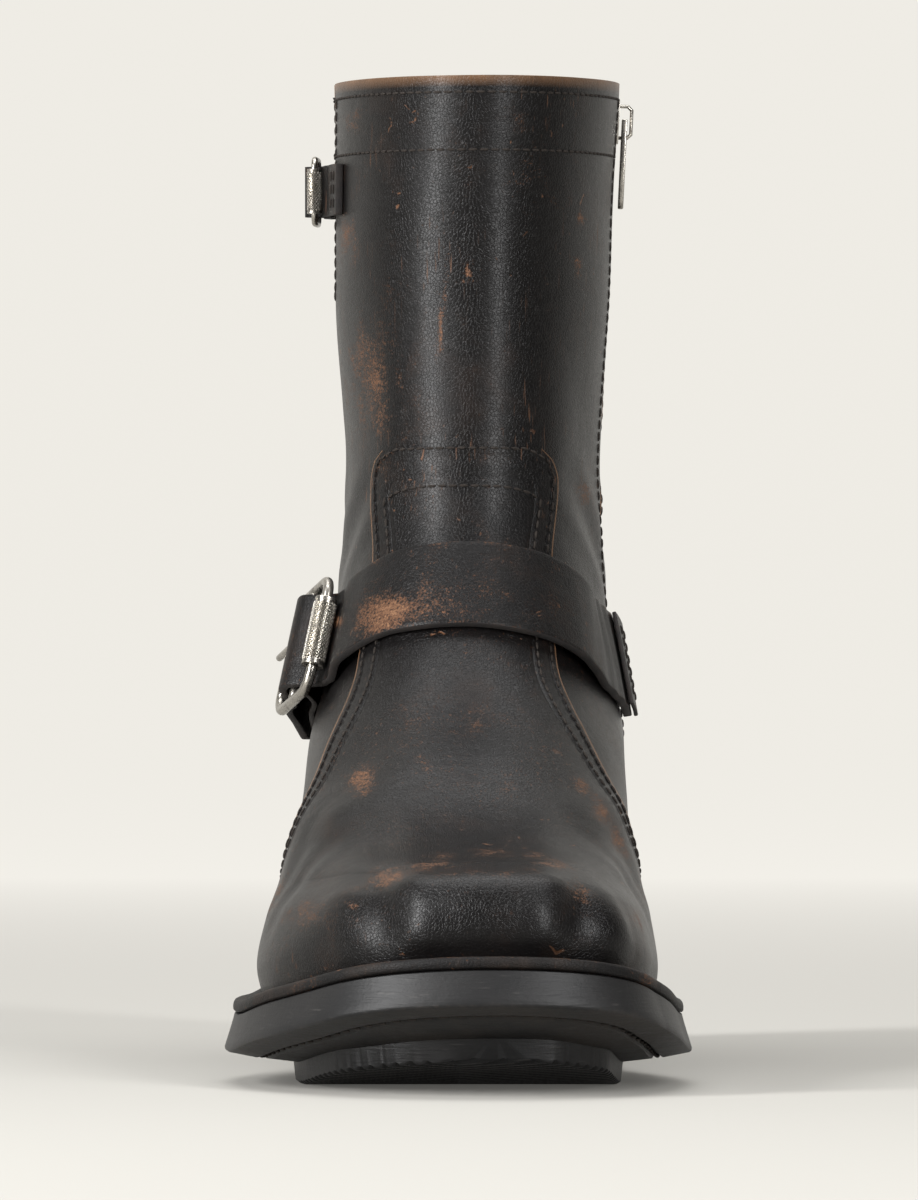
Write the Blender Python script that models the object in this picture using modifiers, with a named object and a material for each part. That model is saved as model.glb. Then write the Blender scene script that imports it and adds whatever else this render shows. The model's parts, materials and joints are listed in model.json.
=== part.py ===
# Right engineer boot: heel centre on the floor at the origin, toe towards -Y,
# outer (lateral) side towards -X, inner (medial) side towards +X. Sizes in metres.
import math

import bmesh
import bpy
from mathutils import Matrix, Vector

# Foot and shaft
SOLE_LENGTH = 0.304
HEEL_BACK = 0.038
BALL_WIDTH = 0.0958
SHAFT_WIDTH = 0.0744
SHAFT_DEPTH = 0.134
COLLAR_HEIGHT = 0.255
TOE_BEND = 0.0098
UPPER_WALL = 0.0022
VAMP_WALL = 0.0016
GAP = 0.0003

# Sole
WELT_THICKNESS = 0.003
WELT_MARGIN = 0.0071
HEEL_WELT_MARGIN = 0.0036
OUTSOLE_THICKNESS = 0.0097
OUTSOLE_FLARE = 0.0025
OUTSOLE_CROWN = 0.0026
INSOLE_THICKNESS = 0.0035
TREAD_DEPTH = 0.008
TREAD_INSET = 0.017
TREAD_BEVEL = 0.0026
HEEL_RISE = 0.026
TOE_SPRING = 0.0145
HEEL_LIFT = 0.0065
HEEL_LENGTH = 0.070
HEEL_TAPER = 0.0022

# Instep strap and its buckle
STRAP_WIDTH = 0.0255
STRAP_THICKNESS = 0.0023
KEEPER_WIDTH = 0.012
KEEPER_THICKNESS = 0.0011
HANGER_WIDTH = 0.024
HANGER_THICKNESS = 0.0016
FRAME_HEIGHT = 0.0335
FRAME_LENGTH = 0.029
FRAME_WIRE = 0.0028
FRAME_STANDOFF = 0.0078
ROLLER_LENGTH = 0.0187
ROLLER_WALL = 0.0012
PRONG_WIRE = 0.0018

# Top strap and its buckle
TOP_STRAP_DROP = 0.028
TOP_STRAP_WIDTH = 0.0132
TOP_STRAP_THICKNESS = 0.0018
TOP_HANGER_THICKNESS = 0.0011
TOP_FRAME_HEIGHT = 0.0184
TOP_FRAME_LENGTH = 0.0185
TOP_FRAME_WIRE = 0.0017
TOP_FRAME_STANDOFF = 0.0052
TOP_ROLLER_LENGTH = 0.0118
TOP_ROLLER_WALL = 0.0008
TOP_PRONG_WIRE = 0.0013

# Gusset and zip
CUT_START = 0.0005
GUSSET_DROP = 0.0015
GUSSET_DEPTH = 0.054
GUSSET_GAP = 0.0070
GUSSET_FOOT = 0.25
GUSSET_OVERLAP = 0.0055
GUSSET_WALL = 0.0012
ZIP_LENGTH = 0.175
ZIP_SLOT = 0.0090
ZIP_TAPE_WIDTH = 0.0180
ZIP_TAPE_WALL = 0.0008
ZIP_TEETH_WIDTH = 0.0050
ZIP_TEETH_THICKNESS = 0.0010
SLIDER_LENGTH = 0.0115
SLIDER_WIDTH = 0.0078
SLIDER_THICKNESS = 0.0011
SLIDER_DROP = 0.0040
BAIL_WIRE = 0.0010
PULL_LENGTH = 0.0235
PULL_WIDTH = 0.0062
PULL_THICKNESS = 0.0014
PULL_HOLE_LENGTH = 0.0072

# Fineness of the faceted surfaces
COLUMNS = 48
ROUND_SIDES = 16

# The vamp's facets and the upper's cross along its edge, so it lies a little further off.
VAMP_GAP = GAP * 1.7
VAMP_MARGIN = VAMP_GAP + VAMP_WALL
SOLE_GROW = VAMP_MARGIN + WELT_MARGIN
HEEL_DRAW = WELT_MARGIN - HEEL_WELT_MARGIN
UPPER_LENGTH = SOLE_LENGTH - 2 * (SOLE_GROW + OUTSOLE_FLARE) + HEEL_DRAW
FEATHER_BACK = HEEL_BACK - SOLE_GROW - OUTSOLE_FLARE + HEEL_DRAW
TOP_STRAP_HEIGHT = COLLAR_HEIGHT - TOP_STRAP_DROP

# Share of HEEL_DRAW by which the sole's outline comes in, along the upper from its back.
HEEL_DRAW_LINE = [
    # along, share
    (0.0, 1.00),
    (0.2, 0.85),
    (0.5, 0.00),
    (1.0, 0.00),
]

# Lower edge of the outsole: height at shares of the length from the heel's back.
# rise is a share of HEEL_RISE at the heel end, spring a share of TOE_SPRING at the toe.
SOLE_EDGE = [
    # along, rise, spring
    (0.000, 1.00, 0.00),
    (0.232, 0.86, 0.00),
    (0.400, 0.42, 0.00),
    (0.530, 0.11, 0.00),
    (0.623, 0.00, 0.00),
    (0.732, 0.00, 0.00),
    (0.860, 0.00, 0.34),
    (1.000, 0.00, 1.00),
]

# Side of the outsole from the welt down: out past the welt's edge as a share of OUTSOLE_FLARE,
# up from the lower edge as a share of OUTSOLE_THICKNESS.
OUTSOLE_SIDE = [
    # out, up
    (0.00, 1.00),
    (0.45, 0.55),
    (1.00, 0.08),
]

# Underside of the outsole: in from its edge as a share of TREAD_INSET, down as a share of OUTSOLE_CROWN.
OUTSOLE_UNDERSIDE = [
    # in, down
    (0.33, 0.62),
    (1.10, 1.00),
]
OUTSOLE_CORNER = OUTSOLE_THICKNESS * 0.1

# Share of OUTSOLE_CROWN along the sole from the heel's back: full under the ball, none at the heel.
CROWN_LINE = [
    # along, share
    (0.00, 0.0),
    (0.30, 0.0),
    (0.55, 1.0),
    (0.85, 1.0),
    (1.00, 0.4),
]

# Sideways bend of the last's centre line, as shares of TOE_BEND along the upper.
BEND = [
    # along, aside
    (0.00, 0.00),
    (0.35, -0.26),
    (0.62, -0.49),
    (0.80, -0.34),
    (1.00, 0.52),
]

# Where along a ring the width shares below are given: 0 at the back, 1 at the front.
STATIONS = (0.0, 0.12, 0.42, 0.70, 0.92, 1.0)

# Rings of the upper from the feather line to the collar.
# front and back: reach from the feather's back point, as shares of UPPER_LENGTH or SHAFT_DEPTH.
# up_front, up_back: share of the way from the feather to the collar height.
# follow: how much of the sole's curve the ring keeps. bend: how much of the sideways bend.
# The six widths are shares of half BALL_WIDTH or half SHAFT_WIDTH.
RINGS = [
    # of, front, back, up_front, up_back, follow, bend, tail, heel, waist, ball, toe, tip
    ("foot", 1.000, 0.000, 0.000, 0.000, 1.00, 1.00, 1.34, 0.960, 0.660, 1.060, 1.345, 1.78),
    ("foot", 1.010, 0.009, 0.033, 0.034, 0.94, 1.00, 1.34, 1.000, 0.720, 1.092, 1.380, 1.80),
    ("foot", 0.996, 0.014, 0.078, 0.067, 0.80, 0.92, 1.30, 1.000, 0.750, 1.050, 1.290, 1.68),
    ("foot", 0.942, 0.016, 0.108, 0.101, 0.62, 0.80, 1.24, 0.985, 0.760, 0.985, 1.170, 1.54),
    ("foot", 0.822, 0.014, 0.138, 0.149, 0.42, 0.68, 1.17, 0.990, 0.810, 0.955, 1.155, 1.30),
    ("foot", 0.684, 0.009, 0.216, 0.207, 0.22, 0.62, 1.08, 0.965, 0.835, 0.890, 1.010, 1.06),
    ("foot", 0.558, -0.002, 0.318, 0.279, 0.08, 0.62, 1.00, 0.905, 0.770, 0.775, 0.830, 0.860),
    ("shaft", 1.034, -0.024, 0.430, 0.375, 0.00, 0.30, 1.08, 0.995, 0.940, 0.920, 0.950, 0.97),
    ("shaft", 0.974, -0.036, 0.546, 0.495, 0.00, 0.20, 1.00, 0.935, 0.900, 0.890, 0.900, 0.92),
    ("shaft", 0.963, -0.010, 0.750, 0.726, 0.00, 0.20, 0.99, 0.970, 0.962, 0.962, 0.965, 0.97),
    ("shaft", 0.985, 0.027, 1.000, 1.000, 0.00, -0.50, 1.02, 1.005, 1.000, 1.000, 1.005, 1.01),
]

# Upper's rings that the mesh uses, as positions in the table above.
RING_STEPS = [0, 1 / 3, 2 / 3] + [1 + k / 2 for k in range(19)]

# Side edge of the vamp: half its spread round the ring, as an angle, at each ring position.
VAMP_EDGE = [
    # ring, spread
    (0.00, 1.86),
    (1.00, 1.72),
    (2.00, 1.54),
    (3.00, 1.30),
    (4.00, 1.06),
    (5.00, 0.82),
    (6.00, 0.66),
    (7.00, 0.66),
    (7.90, 0.74),
    (8.05, 0.70),
    (8.14, 0.60),
]
VAMP_TURN = [
    # ring, turn of the tongue's middle towards the outer side
    (0.00, 0.00),
    (4.00, 0.00),
    (6.00, 0.06),
    (8.14, 0.09),
]
# The vamp leans out over the welt at the toe, so it starts a little up from the feather line.
VAMP_FOOT = 0.17
VAMP_TOP_ROWS = (7.9, 8.05, 8.14)

# Middle line of the instep strap: angle from the front (inner side negative),
# height as a share of COLLAR_HEIGHT, and distance off the upper as a share of VAMP_MARGIN.
STRAP_LINE = [
    # angle, height, off
    (-1.50, 0.398, 0.20),
    (-1.30, 0.411, 0.20),
    (-1.05, 0.426, 0.35),
    (-0.80, 0.449, 1.20),
    (-0.40, 0.472, 1.35),
    (0.00, 0.480, 1.35),
    (0.40, 0.474, 1.35),
    (0.80, 0.452, 1.20),
    (0.98, 0.438, 1.00),
]
STRAP_STATIONS = 17
STRAP_BUCKLE_ANGLE = 1.26
STRAP_BUCKLE_TILT = math.radians(-6)
STRAP_TAIL = 0.040
# Width of a strap's tip as a share of its own
TAIL_TIP = 0.72
STRAP_HANGER = 0.062

TOP_ROOT_ANGLE = 1.20
TOP_BUCKLE_ANGLE = 1.66
TOP_BUCKLE_TILT = 0.0
TOP_TAIL = 0.022
TOP_HANGER = 0.036
GUSSET_ANGLE = 1.55

# Line of the zip: share of ZIP_LENGTH down from the collar, and angle round the ring.
ZIP_LINE = [
    # down, angle
    (0.00, 1.571),
    (0.55, 1.560),
    (0.83, 1.430),
    (1.00, 1.330),
]

# Colour, roughness and metallic value of each material
FINISHES = {
    "black_leather": ((0.018, 0.015, 0.014), 0.42, 0.0),
    "strap_leather": ((0.022, 0.017, 0.015), 0.45, 0.0),
    "welt_leather": ((0.030, 0.022, 0.018), 0.55, 0.0),
    "black_rubber": ((0.020, 0.020, 0.021), 0.70, 0.0),
    "insole_leather": ((0.420, 0.270, 0.150), 0.65, 0.0),
    "nickel": ((0.560, 0.540, 0.500), 0.30, 1.0),
    "zip_tape": ((0.015, 0.015, 0.015), 0.85, 0.0),
    "dark_brass": ((0.300, 0.270, 0.220), 0.38, 1.0),
}


# Smooth value at x of a table of points, without overshoot, and straight past its ends.
def smooth(xs, ys, x):
    steps = [b - a for a, b in zip(xs, xs[1:])]
    rises = [(b - a) / step for a, b, step in zip(ys, ys[1:], steps)]
    slopes = [rises[0]]
    for before, after in zip(rises, rises[1:]):
        slopes.append(2 * before * after / (before + after) if before * after > 0 else 0.0)
    slopes.append(rises[-1])
    if x <= xs[0]:
        return ys[0] + slopes[0] * (x - xs[0])
    if x >= xs[-1]:
        return ys[-1] + slopes[-1] * (x - xs[-1])
    i = max(j for j in range(len(steps)) if xs[j] <= x)
    t = (x - xs[i]) / steps[i]
    start = (1 + 2 * t) * (1 - t) ** 2 * ys[i] + t * (1 - t) ** 2 * slopes[i] * steps[i]
    end = t * t * (3 - 2 * t) * ys[i + 1] + t * t * (t - 1) * slopes[i + 1] * steps[i]
    return start + end


def column(table, index):
    return [row[index] for row in table]


# Height of the outsole's lower edge at y.
def sole_edge(y):
    along = (HEEL_BACK - y) / SOLE_LENGTH
    rise = smooth(column(SOLE_EDGE, 0), column(SOLE_EDGE, 1), along)
    spring = smooth(column(SOLE_EDGE, 0), column(SOLE_EDGE, 2), along)
    return TREAD_DEPTH + HEEL_RISE * rise + TOE_SPRING * spring


def welt_top(y):
    return sole_edge(y) + OUTSOLE_THICKNESS + GAP + WELT_THICKNESS


def feather_height(y):
    return welt_top(y) + GAP


# The numbers of the ring at position k, in metres.
def ring_at(k):
    found = []
    for index in range(1, len(RINGS[0])):
        values = []
        for row in RINGS:
            of_foot = row[0] == "foot"
            reach = UPPER_LENGTH if of_foot else SHAFT_DEPTH
            width = BALL_WIDTH / 2 if of_foot else SHAFT_WIDTH / 2
            size = {1: reach, 2: reach}.get(index, width if index > 6 else 1.0)
            values.append(row[index] * size)
        found.append(smooth(range(len(RINGS)), values, k))
    return found


RING_CACHE = {}


# Point of the upper's outer face at ring position k, at an angle from the back of the boot.
def skin_point(k, angle):
    if k not in RING_CACHE:
        RING_CACHE[k] = ring_at(k)
    front, back, up_front, up_back, follow, bend = RING_CACHE[k][:6]
    share = (1 - math.cos(angle)) / 2
    y_back = FEATHER_BACK + back
    y_front = FEATHER_BACK - front
    y = y_back + (y_front - y_back) * share
    low_back = feather_height(FEATHER_BACK)
    low_front = feather_height(FEATHER_BACK - UPPER_LENGTH)
    z_back = low_back + up_back * (COLLAR_HEIGHT - low_back)
    z_front = low_front + up_front * (COLLAR_HEIGHT - low_front)
    sole_curve = feather_height(y) - low_back - (low_front - low_back) * share
    z = z_back + (z_front - z_back) * share + follow * sole_curve
    half = smooth(STATIONS, RING_CACHE[k][6:], share)
    along = (FEATHER_BACK - y) / UPPER_LENGTH
    aside = TOE_BEND * bend * smooth(column(BEND, 0), column(BEND, 1), along)
    return Vector((aside + half * math.sin(angle), y, z))


def skin_normal(k, angle):
    step = 0.01
    up = skin_point(k + step, angle) - skin_point(k - step, angle)
    round_ring = skin_point(k, angle + step) - skin_point(k, angle - step)
    return up.cross(round_ring).normalized()


def on_skin(k, angle, off):
    return skin_point(k, angle) + skin_normal(k, angle) * off


# Ring position where the upper's face reaches a height at this angle.
def ring_of_height(z, angle):
    low, high = 0.0, float(len(RINGS) - 1)
    for _ in range(24):
        middle = (low + high) / 2
        if skin_point(middle, angle).z < z:
            low = middle
        else:
            high = middle
    return (low + high) / 2


def at_height(z, angle, off):
    return on_skin(ring_of_height(z, angle), angle, off)


# Plan outline of the upper at the feather line, grown outwards, and less so at the heel.
def outline(angle, grow):
    step = 0.01
    point = skin_point(0, angle)
    if grow > 0:
        along = (FEATHER_BACK - point.y) / UPPER_LENGTH
        grow -= HEEL_DRAW * smooth(column(HEEL_DRAW_LINE, 0), column(HEEL_DRAW_LINE, 1), along)
    ahead = skin_point(0, angle + step) - skin_point(0, angle - step)
    outward = Vector((-ahead.y, ahead.x, 0)).normalized()
    return point.x + outward.x * grow, point.y + outward.y * grow


def round_angles(count):
    return [2 * math.pi * i / count for i in range(count)]


# Objects, materials and collections
def clear_scene():
    for old in list(bpy.data.objects):
        bpy.data.objects.remove(old, do_unlink=True)


def collection(name, hidden):
    made = bpy.data.collections.new(name)
    bpy.context.scene.collection.children.link(made)
    made.hide_render = hidden
    return made


def material(name):
    if name in bpy.data.materials:
        return bpy.data.materials[name]
    colour, roughness, metallic = FINISHES[name]
    made = bpy.data.materials.new(name)
    made.use_nodes = True
    shader = made.node_tree.nodes["Principled BSDF"]
    shader.inputs["Base Color"].default_value = (*colour, 1)
    shader.inputs["Roughness"].default_value = roughness
    shader.inputs["Metallic"].default_value = metallic
    return made


def add_object(name, mesh, finish):
    made = bpy.data.objects.new(name, mesh)
    if finish is None:
        CUTTERS.objects.link(made)
        made.hide_render = True
        made.display_type = "WIRE"
    else:
        BOOT.objects.link(made)
        mesh.materials.append(material(finish))
        mesh.shade_smooth()
        mesh.set_sharp_from_angle(angle=math.radians(35))
    return made


def mesh_of(name, points, faces, closed):
    mesh = bpy.data.meshes.new(name)
    mesh.from_pydata(points, [], faces)
    if closed:
        work = bmesh.new()
        work.from_mesh(mesh)
        bmesh.ops.recalc_face_normals(work, faces=work.faces)
        work.to_mesh(mesh)
        work.free()
    return mesh


# Solid through closed rings of equally many points, from the first to the last, with ladder caps.
def ring_solid(name, rings, finish):
    count = len(rings[0])
    points = [point for ring in rings for point in ring]
    faces = []
    for j in range(len(rings) - 1):
        for i in range(count):
            a, b = j * count + i, j * count + (i + 1) % count
            faces.append((a, b, b + count, a + count))
    top = (len(rings) - 1) * count
    for start in (0, top):
        faces.append((start, start + 1, start + count - 1))
        for i in range(1, count // 2 - 1):
            faces.append(tuple(start + j for j in (i, i + 1, count - i - 1, count - i)))
        middle = count // 2
        faces.append((start + middle - 1, start + middle, start + middle + 1))
    return add_object(name, mesh_of(name, points, faces, True), finish)


# Solid band between two closed edges, given as rings that run round its section.
def band_solid(name, rings, finish):
    count = len(rings[0])
    points = [point for ring in rings for point in ring]
    faces = []
    for j in range(len(rings)):
        k = (j + 1) % len(rings)
        for i in range(count):
            n = (i + 1) % count
            faces.append((j * count + i, j * count + n, k * count + n, k * count + i))
    return add_object(name, mesh_of(name, points, faces, True), finish)


# Open sheet through rows of points, thickened on the side that its rows and columns face.
def sheet(name, rows, thickness, finish, ring=False):
    count = len(rows[0])
    points = [point for row in rows for point in row]
    faces = []
    for j in range(len(rows) - 1):
        for i in range(count if ring else count - 1):
            a, b = j * count + i, j * count + (i + 1) % count
            faces.append((a, a + count, b + count, b))
    made = add_object(name, mesh_of(name, points, faces, False), finish)
    wall = made.modifiers.new("wall", "SOLIDIFY")
    wall.thickness = abs(thickness)
    wall.offset = 1.0 if thickness > 0 else -1.0
    wall.use_even_offset = True
    return made


def boolean(target, cutter, operation, solver="EXACT"):
    step = target.modifiers.new(cutter.name, "BOOLEAN")
    step.operation = operation
    step.object = cutter
    step.solver = solver


# The mesh of a curve object, with its caps welded, in place of the curve.
def mesh_from_curve(curve, name, finish):
    graph = bpy.context.evaluated_depsgraph_get()
    mesh = bpy.data.meshes.new_from_object(curve.evaluated_get(graph))
    work = bmesh.new()
    work.from_mesh(mesh)
    bmesh.ops.remove_doubles(work, verts=work.verts, dist=0.00001)
    bmesh.ops.recalc_face_normals(work, faces=work.faces)
    work.to_mesh(mesh)
    work.free()
    mesh.name = name
    mesh.materials.clear()
    place = curve.matrix_world.copy()
    bpy.data.objects.remove(curve, do_unlink=True)
    made = add_object(name, mesh, finish)
    made.matrix_world = place
    return made


def wire(name, points, thickness, finish, cyclic=False, place=None):
    path = bpy.data.curves.new(name + "_path", "CURVE")
    path.dimensions = "3D"
    path.bevel_depth = thickness / 2
    path.bevel_resolution = 2
    path.use_fill_caps = True
    spline = path.splines.new("POLY")
    spline.points.add(len(points) - 1)
    for knot, point in zip(spline.points, points):
        knot.co = (*point, 1)
    spline.use_cyclic_u = cyclic
    curve = bpy.data.objects.new(name + "_path", path)
    CUTTERS.objects.link(curve)
    if place is not None:
        curve.matrix_world = place
    bpy.context.view_layer.update()
    return mesh_from_curve(curve, name, finish)


def box(name, low, high, finish, place=None):
    mesh = bpy.data.meshes.new(name)
    work = bmesh.new()
    size = Vector(high) - Vector(low)
    middle = (Vector(high) + Vector(low)) / 2
    grow = Matrix.Translation(middle) @ Matrix.Diagonal((*size, 1))
    bmesh.ops.create_cube(work, size=1.0, matrix=grow)
    work.to_mesh(mesh)
    work.free()
    made = add_object(name, mesh, finish)
    if place is not None:
        made.matrix_world = place
    return made


# Sole, heel and insole
def outline_ring(grow, height):
    ring = []
    for angle in round_angles(COLUMNS):
        x, y = outline(angle, grow)
        ring.append((x, y, height(y)))
    return ring


# How far the outsole's underside is crowned at y.
def crown(y):
    along = (HEEL_BACK - y) / SOLE_LENGTH
    return OUTSOLE_CROWN * smooth(column(CROWN_LINE, 0), column(CROWN_LINE, 1), along)


def make_outsole():
    edge = SOLE_GROW + OUTSOLE_FLARE
    rings = []
    for out, up in OUTSOLE_SIDE:
        grow = SOLE_GROW + OUTSOLE_FLARE * out
        rings.append(outline_ring(grow, lambda y: sole_edge(y) + OUTSOLE_THICKNESS * up))
    rings.append(outline_ring(edge - OUTSOLE_CORNER, sole_edge))
    for inwards, down in OUTSOLE_UNDERSIDE:
        grow = edge - TREAD_INSET * inwards
        rings.append(outline_ring(grow, lambda y: sole_edge(y) - down * crown(y)))
    outsole = ring_solid("outsole", rings, "black_rubber")
    # Both have long thin cap faces, and both are closed.
    boolean(outsole, make_tread(), "UNION", "MANIFOLD")


# Angle at which the outline reaches y on its inner side (side 1) or outer side (side -1).
def outline_angle(y, grow, side):
    low, high = 0.0, math.pi
    for _ in range(30):
        middle = (low + high) / 2
        if outline(side * middle, grow)[1] > y:
            low = middle
        else:
            high = middle
    return side * (low + high) / 2


# The raised tread under the forefoot, sunk a little into the outsole that it joins.
def make_tread():
    front = HEEL_BACK - SOLE_LENGTH + TREAD_INSET * 1.40
    back = HEEL_BACK - SOLE_LENGTH * 0.50
    flat = [HEEL_BACK - SOLE_LENGTH * row[0] for row in SOLE_EDGE if row[1] == row[2] == 0]
    flat = [(y - front) / (back - front) for y in flat]
    shares = [0.0, 0.025, 0.08, 0.16, 0.30]
    shares += [flat[1], (flat[0] + flat[1]) / 2, flat[0], 0.83, 0.97, 1.0]
    rings = []
    for share in shares:
        y = front + (back - front) * share
        y_low = y + TREAD_BEVEL * (1 if share == 0 else -1 if share == 1 else 0)
        # The corners of the tread are rounded off by drawing its sides in at both ends.
        front_draw = 0.62 * max(0, 1 - share / 0.16) ** 2
        back_draw = 0.2 * max(0, (share - 0.93) / 0.07)
        grow = SOLE_GROW + OUTSOLE_FLARE - TREAD_INSET * (1 + front_draw + back_draw)
        sides = [outline(outline_angle(y, grow, side), grow)[0] for side in (-1, 1)]
        high = sole_edge(y) - OUTSOLE_CROWN * 0.35
        low = sole_edge(y_low) - TREAD_DEPTH
        root = low + (high - low) * 0.80
        rings.append(
            [
                (sides[0] + TREAD_BEVEL, y_low, low),
                (sides[0], y, root),
                (sides[0], y, high),
                (sides[1], y, high),
                (sides[1], y, root),
                (sides[1] - TREAD_BEVEL, y_low, low),
            ]
        )
    return ring_solid("tread_form", rings, None)


def make_welt():
    inner = -UPPER_WALL
    edge = SOLE_GROW + WELT_THICKNESS * 0.1
    rings = [
        outline_ring(edge, lambda y: welt_top(y) - WELT_THICKNESS),
        outline_ring(edge, lambda y: welt_top(y) - WELT_THICKNESS * 0.35),
        outline_ring(SOLE_GROW - WELT_THICKNESS * 0.25, welt_top),
        outline_ring(inner, welt_top),
        outline_ring(inner, lambda y: welt_top(y) - WELT_THICKNESS),
    ]
    band_solid("welt", rings, "welt_leather")


def make_insole():
    grow = -UPPER_WALL - GAP * 1.6
    low = outline_ring(grow, lambda y: welt_top(y) - WELT_THICKNESS)
    high = outline_ring(grow, lambda y: welt_top(y) - WELT_THICKNESS + INSOLE_THICKNESS)
    ring_solid("insole", [low, high], "insole_leather")


# A ring of the heel: the outline's back part, closed straight across at the breast.
def heel_ring(grow, height):
    breast = HEEL_BACK - HEEL_LENGTH
    limit = outline_angle(breast, grow, 1)
    start = outline_angle(breast, grow, -1)
    count = 22
    ring = []
    for i in range(count):
        x, y = outline(start + (limit - start) * (i + 0.5) / count, grow)
        ring.append((x, y, height(y)))
    x, y = outline(limit, grow)
    ring.append((x, breast, height(breast)))
    x, y = outline(start, grow)
    ring.append((x, breast, height(breast)))
    # The ladder cap pairs points across the heel, so the ring starts at its back.
    turn = count // 2
    return ring[turn:] + ring[:turn]


def make_heel():
    grow = SOLE_GROW - HEEL_TAPER * 0.3
    share = HEEL_LIFT / (TREAD_DEPTH + HEEL_RISE)
    waist = grow - HEEL_TAPER * (1 - share)
    low = heel_ring(waist, lambda y: HEEL_LIFT + GAP)
    high = heel_ring(grow, lambda y: sole_edge(y) - GAP)
    ring_solid("heel", [low, high], "black_rubber")
    low = heel_ring(grow - HEEL_TAPER, lambda y: 0.0)
    high = heel_ring(waist, lambda y: HEEL_LIFT)
    ring_solid("heel_lift", [low, high], "black_rubber")


# Upper and vamp
def make_upper():
    rows = []
    for k in RING_STEPS:
        rows.append([skin_point(k, angle) for angle in round_angles(COLUMNS)])
    upper = sheet("upper", rows, -UPPER_WALL, "black_leather", ring=True)
    boolean(upper, make_zip_cutter(), "DIFFERENCE")
    boolean(upper, make_gusset_cutter(), "DIFFERENCE")


def make_vamp():
    # Its points lie over the upper's own, so that the facets of the two run parallel.
    step = 2 * math.pi / COLUMNS
    reach = math.ceil(max(column(VAMP_EDGE, 1)) / step)
    rows = []
    between = [k for k in RING_STEPS if 0 < k < VAMP_TOP_ROWS[0]]
    for k in [VAMP_FOOT, *between, *VAMP_TOP_ROWS]:
        spread = smooth(column(VAMP_EDGE, 0), column(VAMP_EDGE, 1), k)
        turn = smooth(column(VAMP_TURN, 0), column(VAMP_TURN, 1), k)
        row = []
        for i in range(-reach, reach + 1):
            angle = math.pi + min(max(i * step, turn - spread), turn + spread)
            row.append(on_skin(k, angle, VAMP_GAP))
        rows.append(row)
    vamp = sheet("vamp", rows, VAMP_WALL, "black_leather")
    # Past the vamp's edge the points of a row lie in one place.
    work = bmesh.new()
    work.from_mesh(vamp.data)
    bmesh.ops.remove_doubles(work, verts=work.verts, dist=0.00005)
    work.to_mesh(vamp.data)
    work.free()


# A strip up the skin: rows across the line, by shares of its half width at each height.
def skin_strip(name, line, half_width, off, thickness, finish, heights):
    rows = []
    for z in heights:
        angle = line(z)
        centre = at_height(z, angle, off)
        turn = 0.02
        per_angle = (at_height(z, angle + turn, off) - centre).length / turn
        spread = half_width(z) / per_angle
        rows.append([at_height(z, angle + spread * share, off) for share in (-1, -0.33, 0.33, 1)])
    return sheet(name, rows, thickness, finish)


def spaced(low, high, count):
    return [low + (high - low) * i / (count - 1) for i in range(count)]


def zip_angle(z):
    down = (COLLAR_HEIGHT - z) / ZIP_LENGTH
    return smooth(column(ZIP_LINE, 0), column(ZIP_LINE, 1), down)


def make_zip_cutter():
    heights = spaced(COLLAR_HEIGHT - ZIP_LENGTH, COLLAR_HEIGHT - CUT_START, 12)
    reach = UPPER_WALL * 2
    half = ZIP_SLOT / 2
    cutter = skin_strip("zip_cut", zip_angle, lambda z: half, -reach, 2 * reach, None, heights)
    raise_top(cutter)
    return cutter


# Lifts a cutter's top row past the collar, so that the cut is open there.
def raise_top(cutter):
    top = max(vertex.co.z for vertex in cutter.data.vertices)
    for vertex in cutter.data.vertices:
        if vertex.co.z > top - UPPER_WALL:
            vertex.co.z += UPPER_WALL * 2


def gusset_angle(z):
    return math.pi + GUSSET_ANGLE


# Half the gusset's gap, which narrows to a share of its width at the foot.
def gusset_half(z):
    open_share = max(0.0, 1 - (COLLAR_HEIGHT - z) / GUSSET_DEPTH)
    return GUSSET_GAP / 2 * (GUSSET_FOOT + (1 - GUSSET_FOOT) * open_share)


def make_gusset_cutter():
    heights = spaced(COLLAR_HEIGHT - GUSSET_DEPTH, COLLAR_HEIGHT - CUT_START, 5)
    reach = UPPER_WALL * 2
    cutter = skin_strip("gusset_cut", gusset_angle, gusset_half, -reach, 2 * reach, None, heights)
    raise_top(cutter)
    return cutter


def make_gusset():
    low = COLLAR_HEIGHT - GUSSET_DEPTH - GUSSET_OVERLAP
    heights = spaced(low, COLLAR_HEIGHT - GUSSET_DROP, 6)
    off = -UPPER_WALL - GAP * 1.5
    half = lambda z: gusset_half(z) + GUSSET_OVERLAP
    skin_strip("top_gusset", gusset_angle, half, off, -GUSSET_WALL, "strap_leather", heights)


# Straps and buckles
ACROSS = (-1, -0.5, 0, 0.5, 1)


def strap_height(turn):
    return COLLAR_HEIGHT * smooth(column(STRAP_LINE, 0), column(STRAP_LINE, 1), turn)


def strap_off(turn):
    return VAMP_MARGIN * smooth(column(STRAP_LINE, 0), column(STRAP_LINE, 2), turn)


# Way along a line on the skin at a turn from the front: unit vectors along, across and off it.
def skin_axes(line, turn):
    step = 0.02
    ahead = at_height(line(turn + step), math.pi + turn + step, 0)
    ahead = ahead - at_height(line(turn - step), math.pi + turn - step, 0)
    out = skin_normal(ring_of_height(line(turn), math.pi + turn), math.pi + turn)
    along = (ahead - out * ahead.dot(out)).normalized()
    return along, out.cross(along), out


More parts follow.
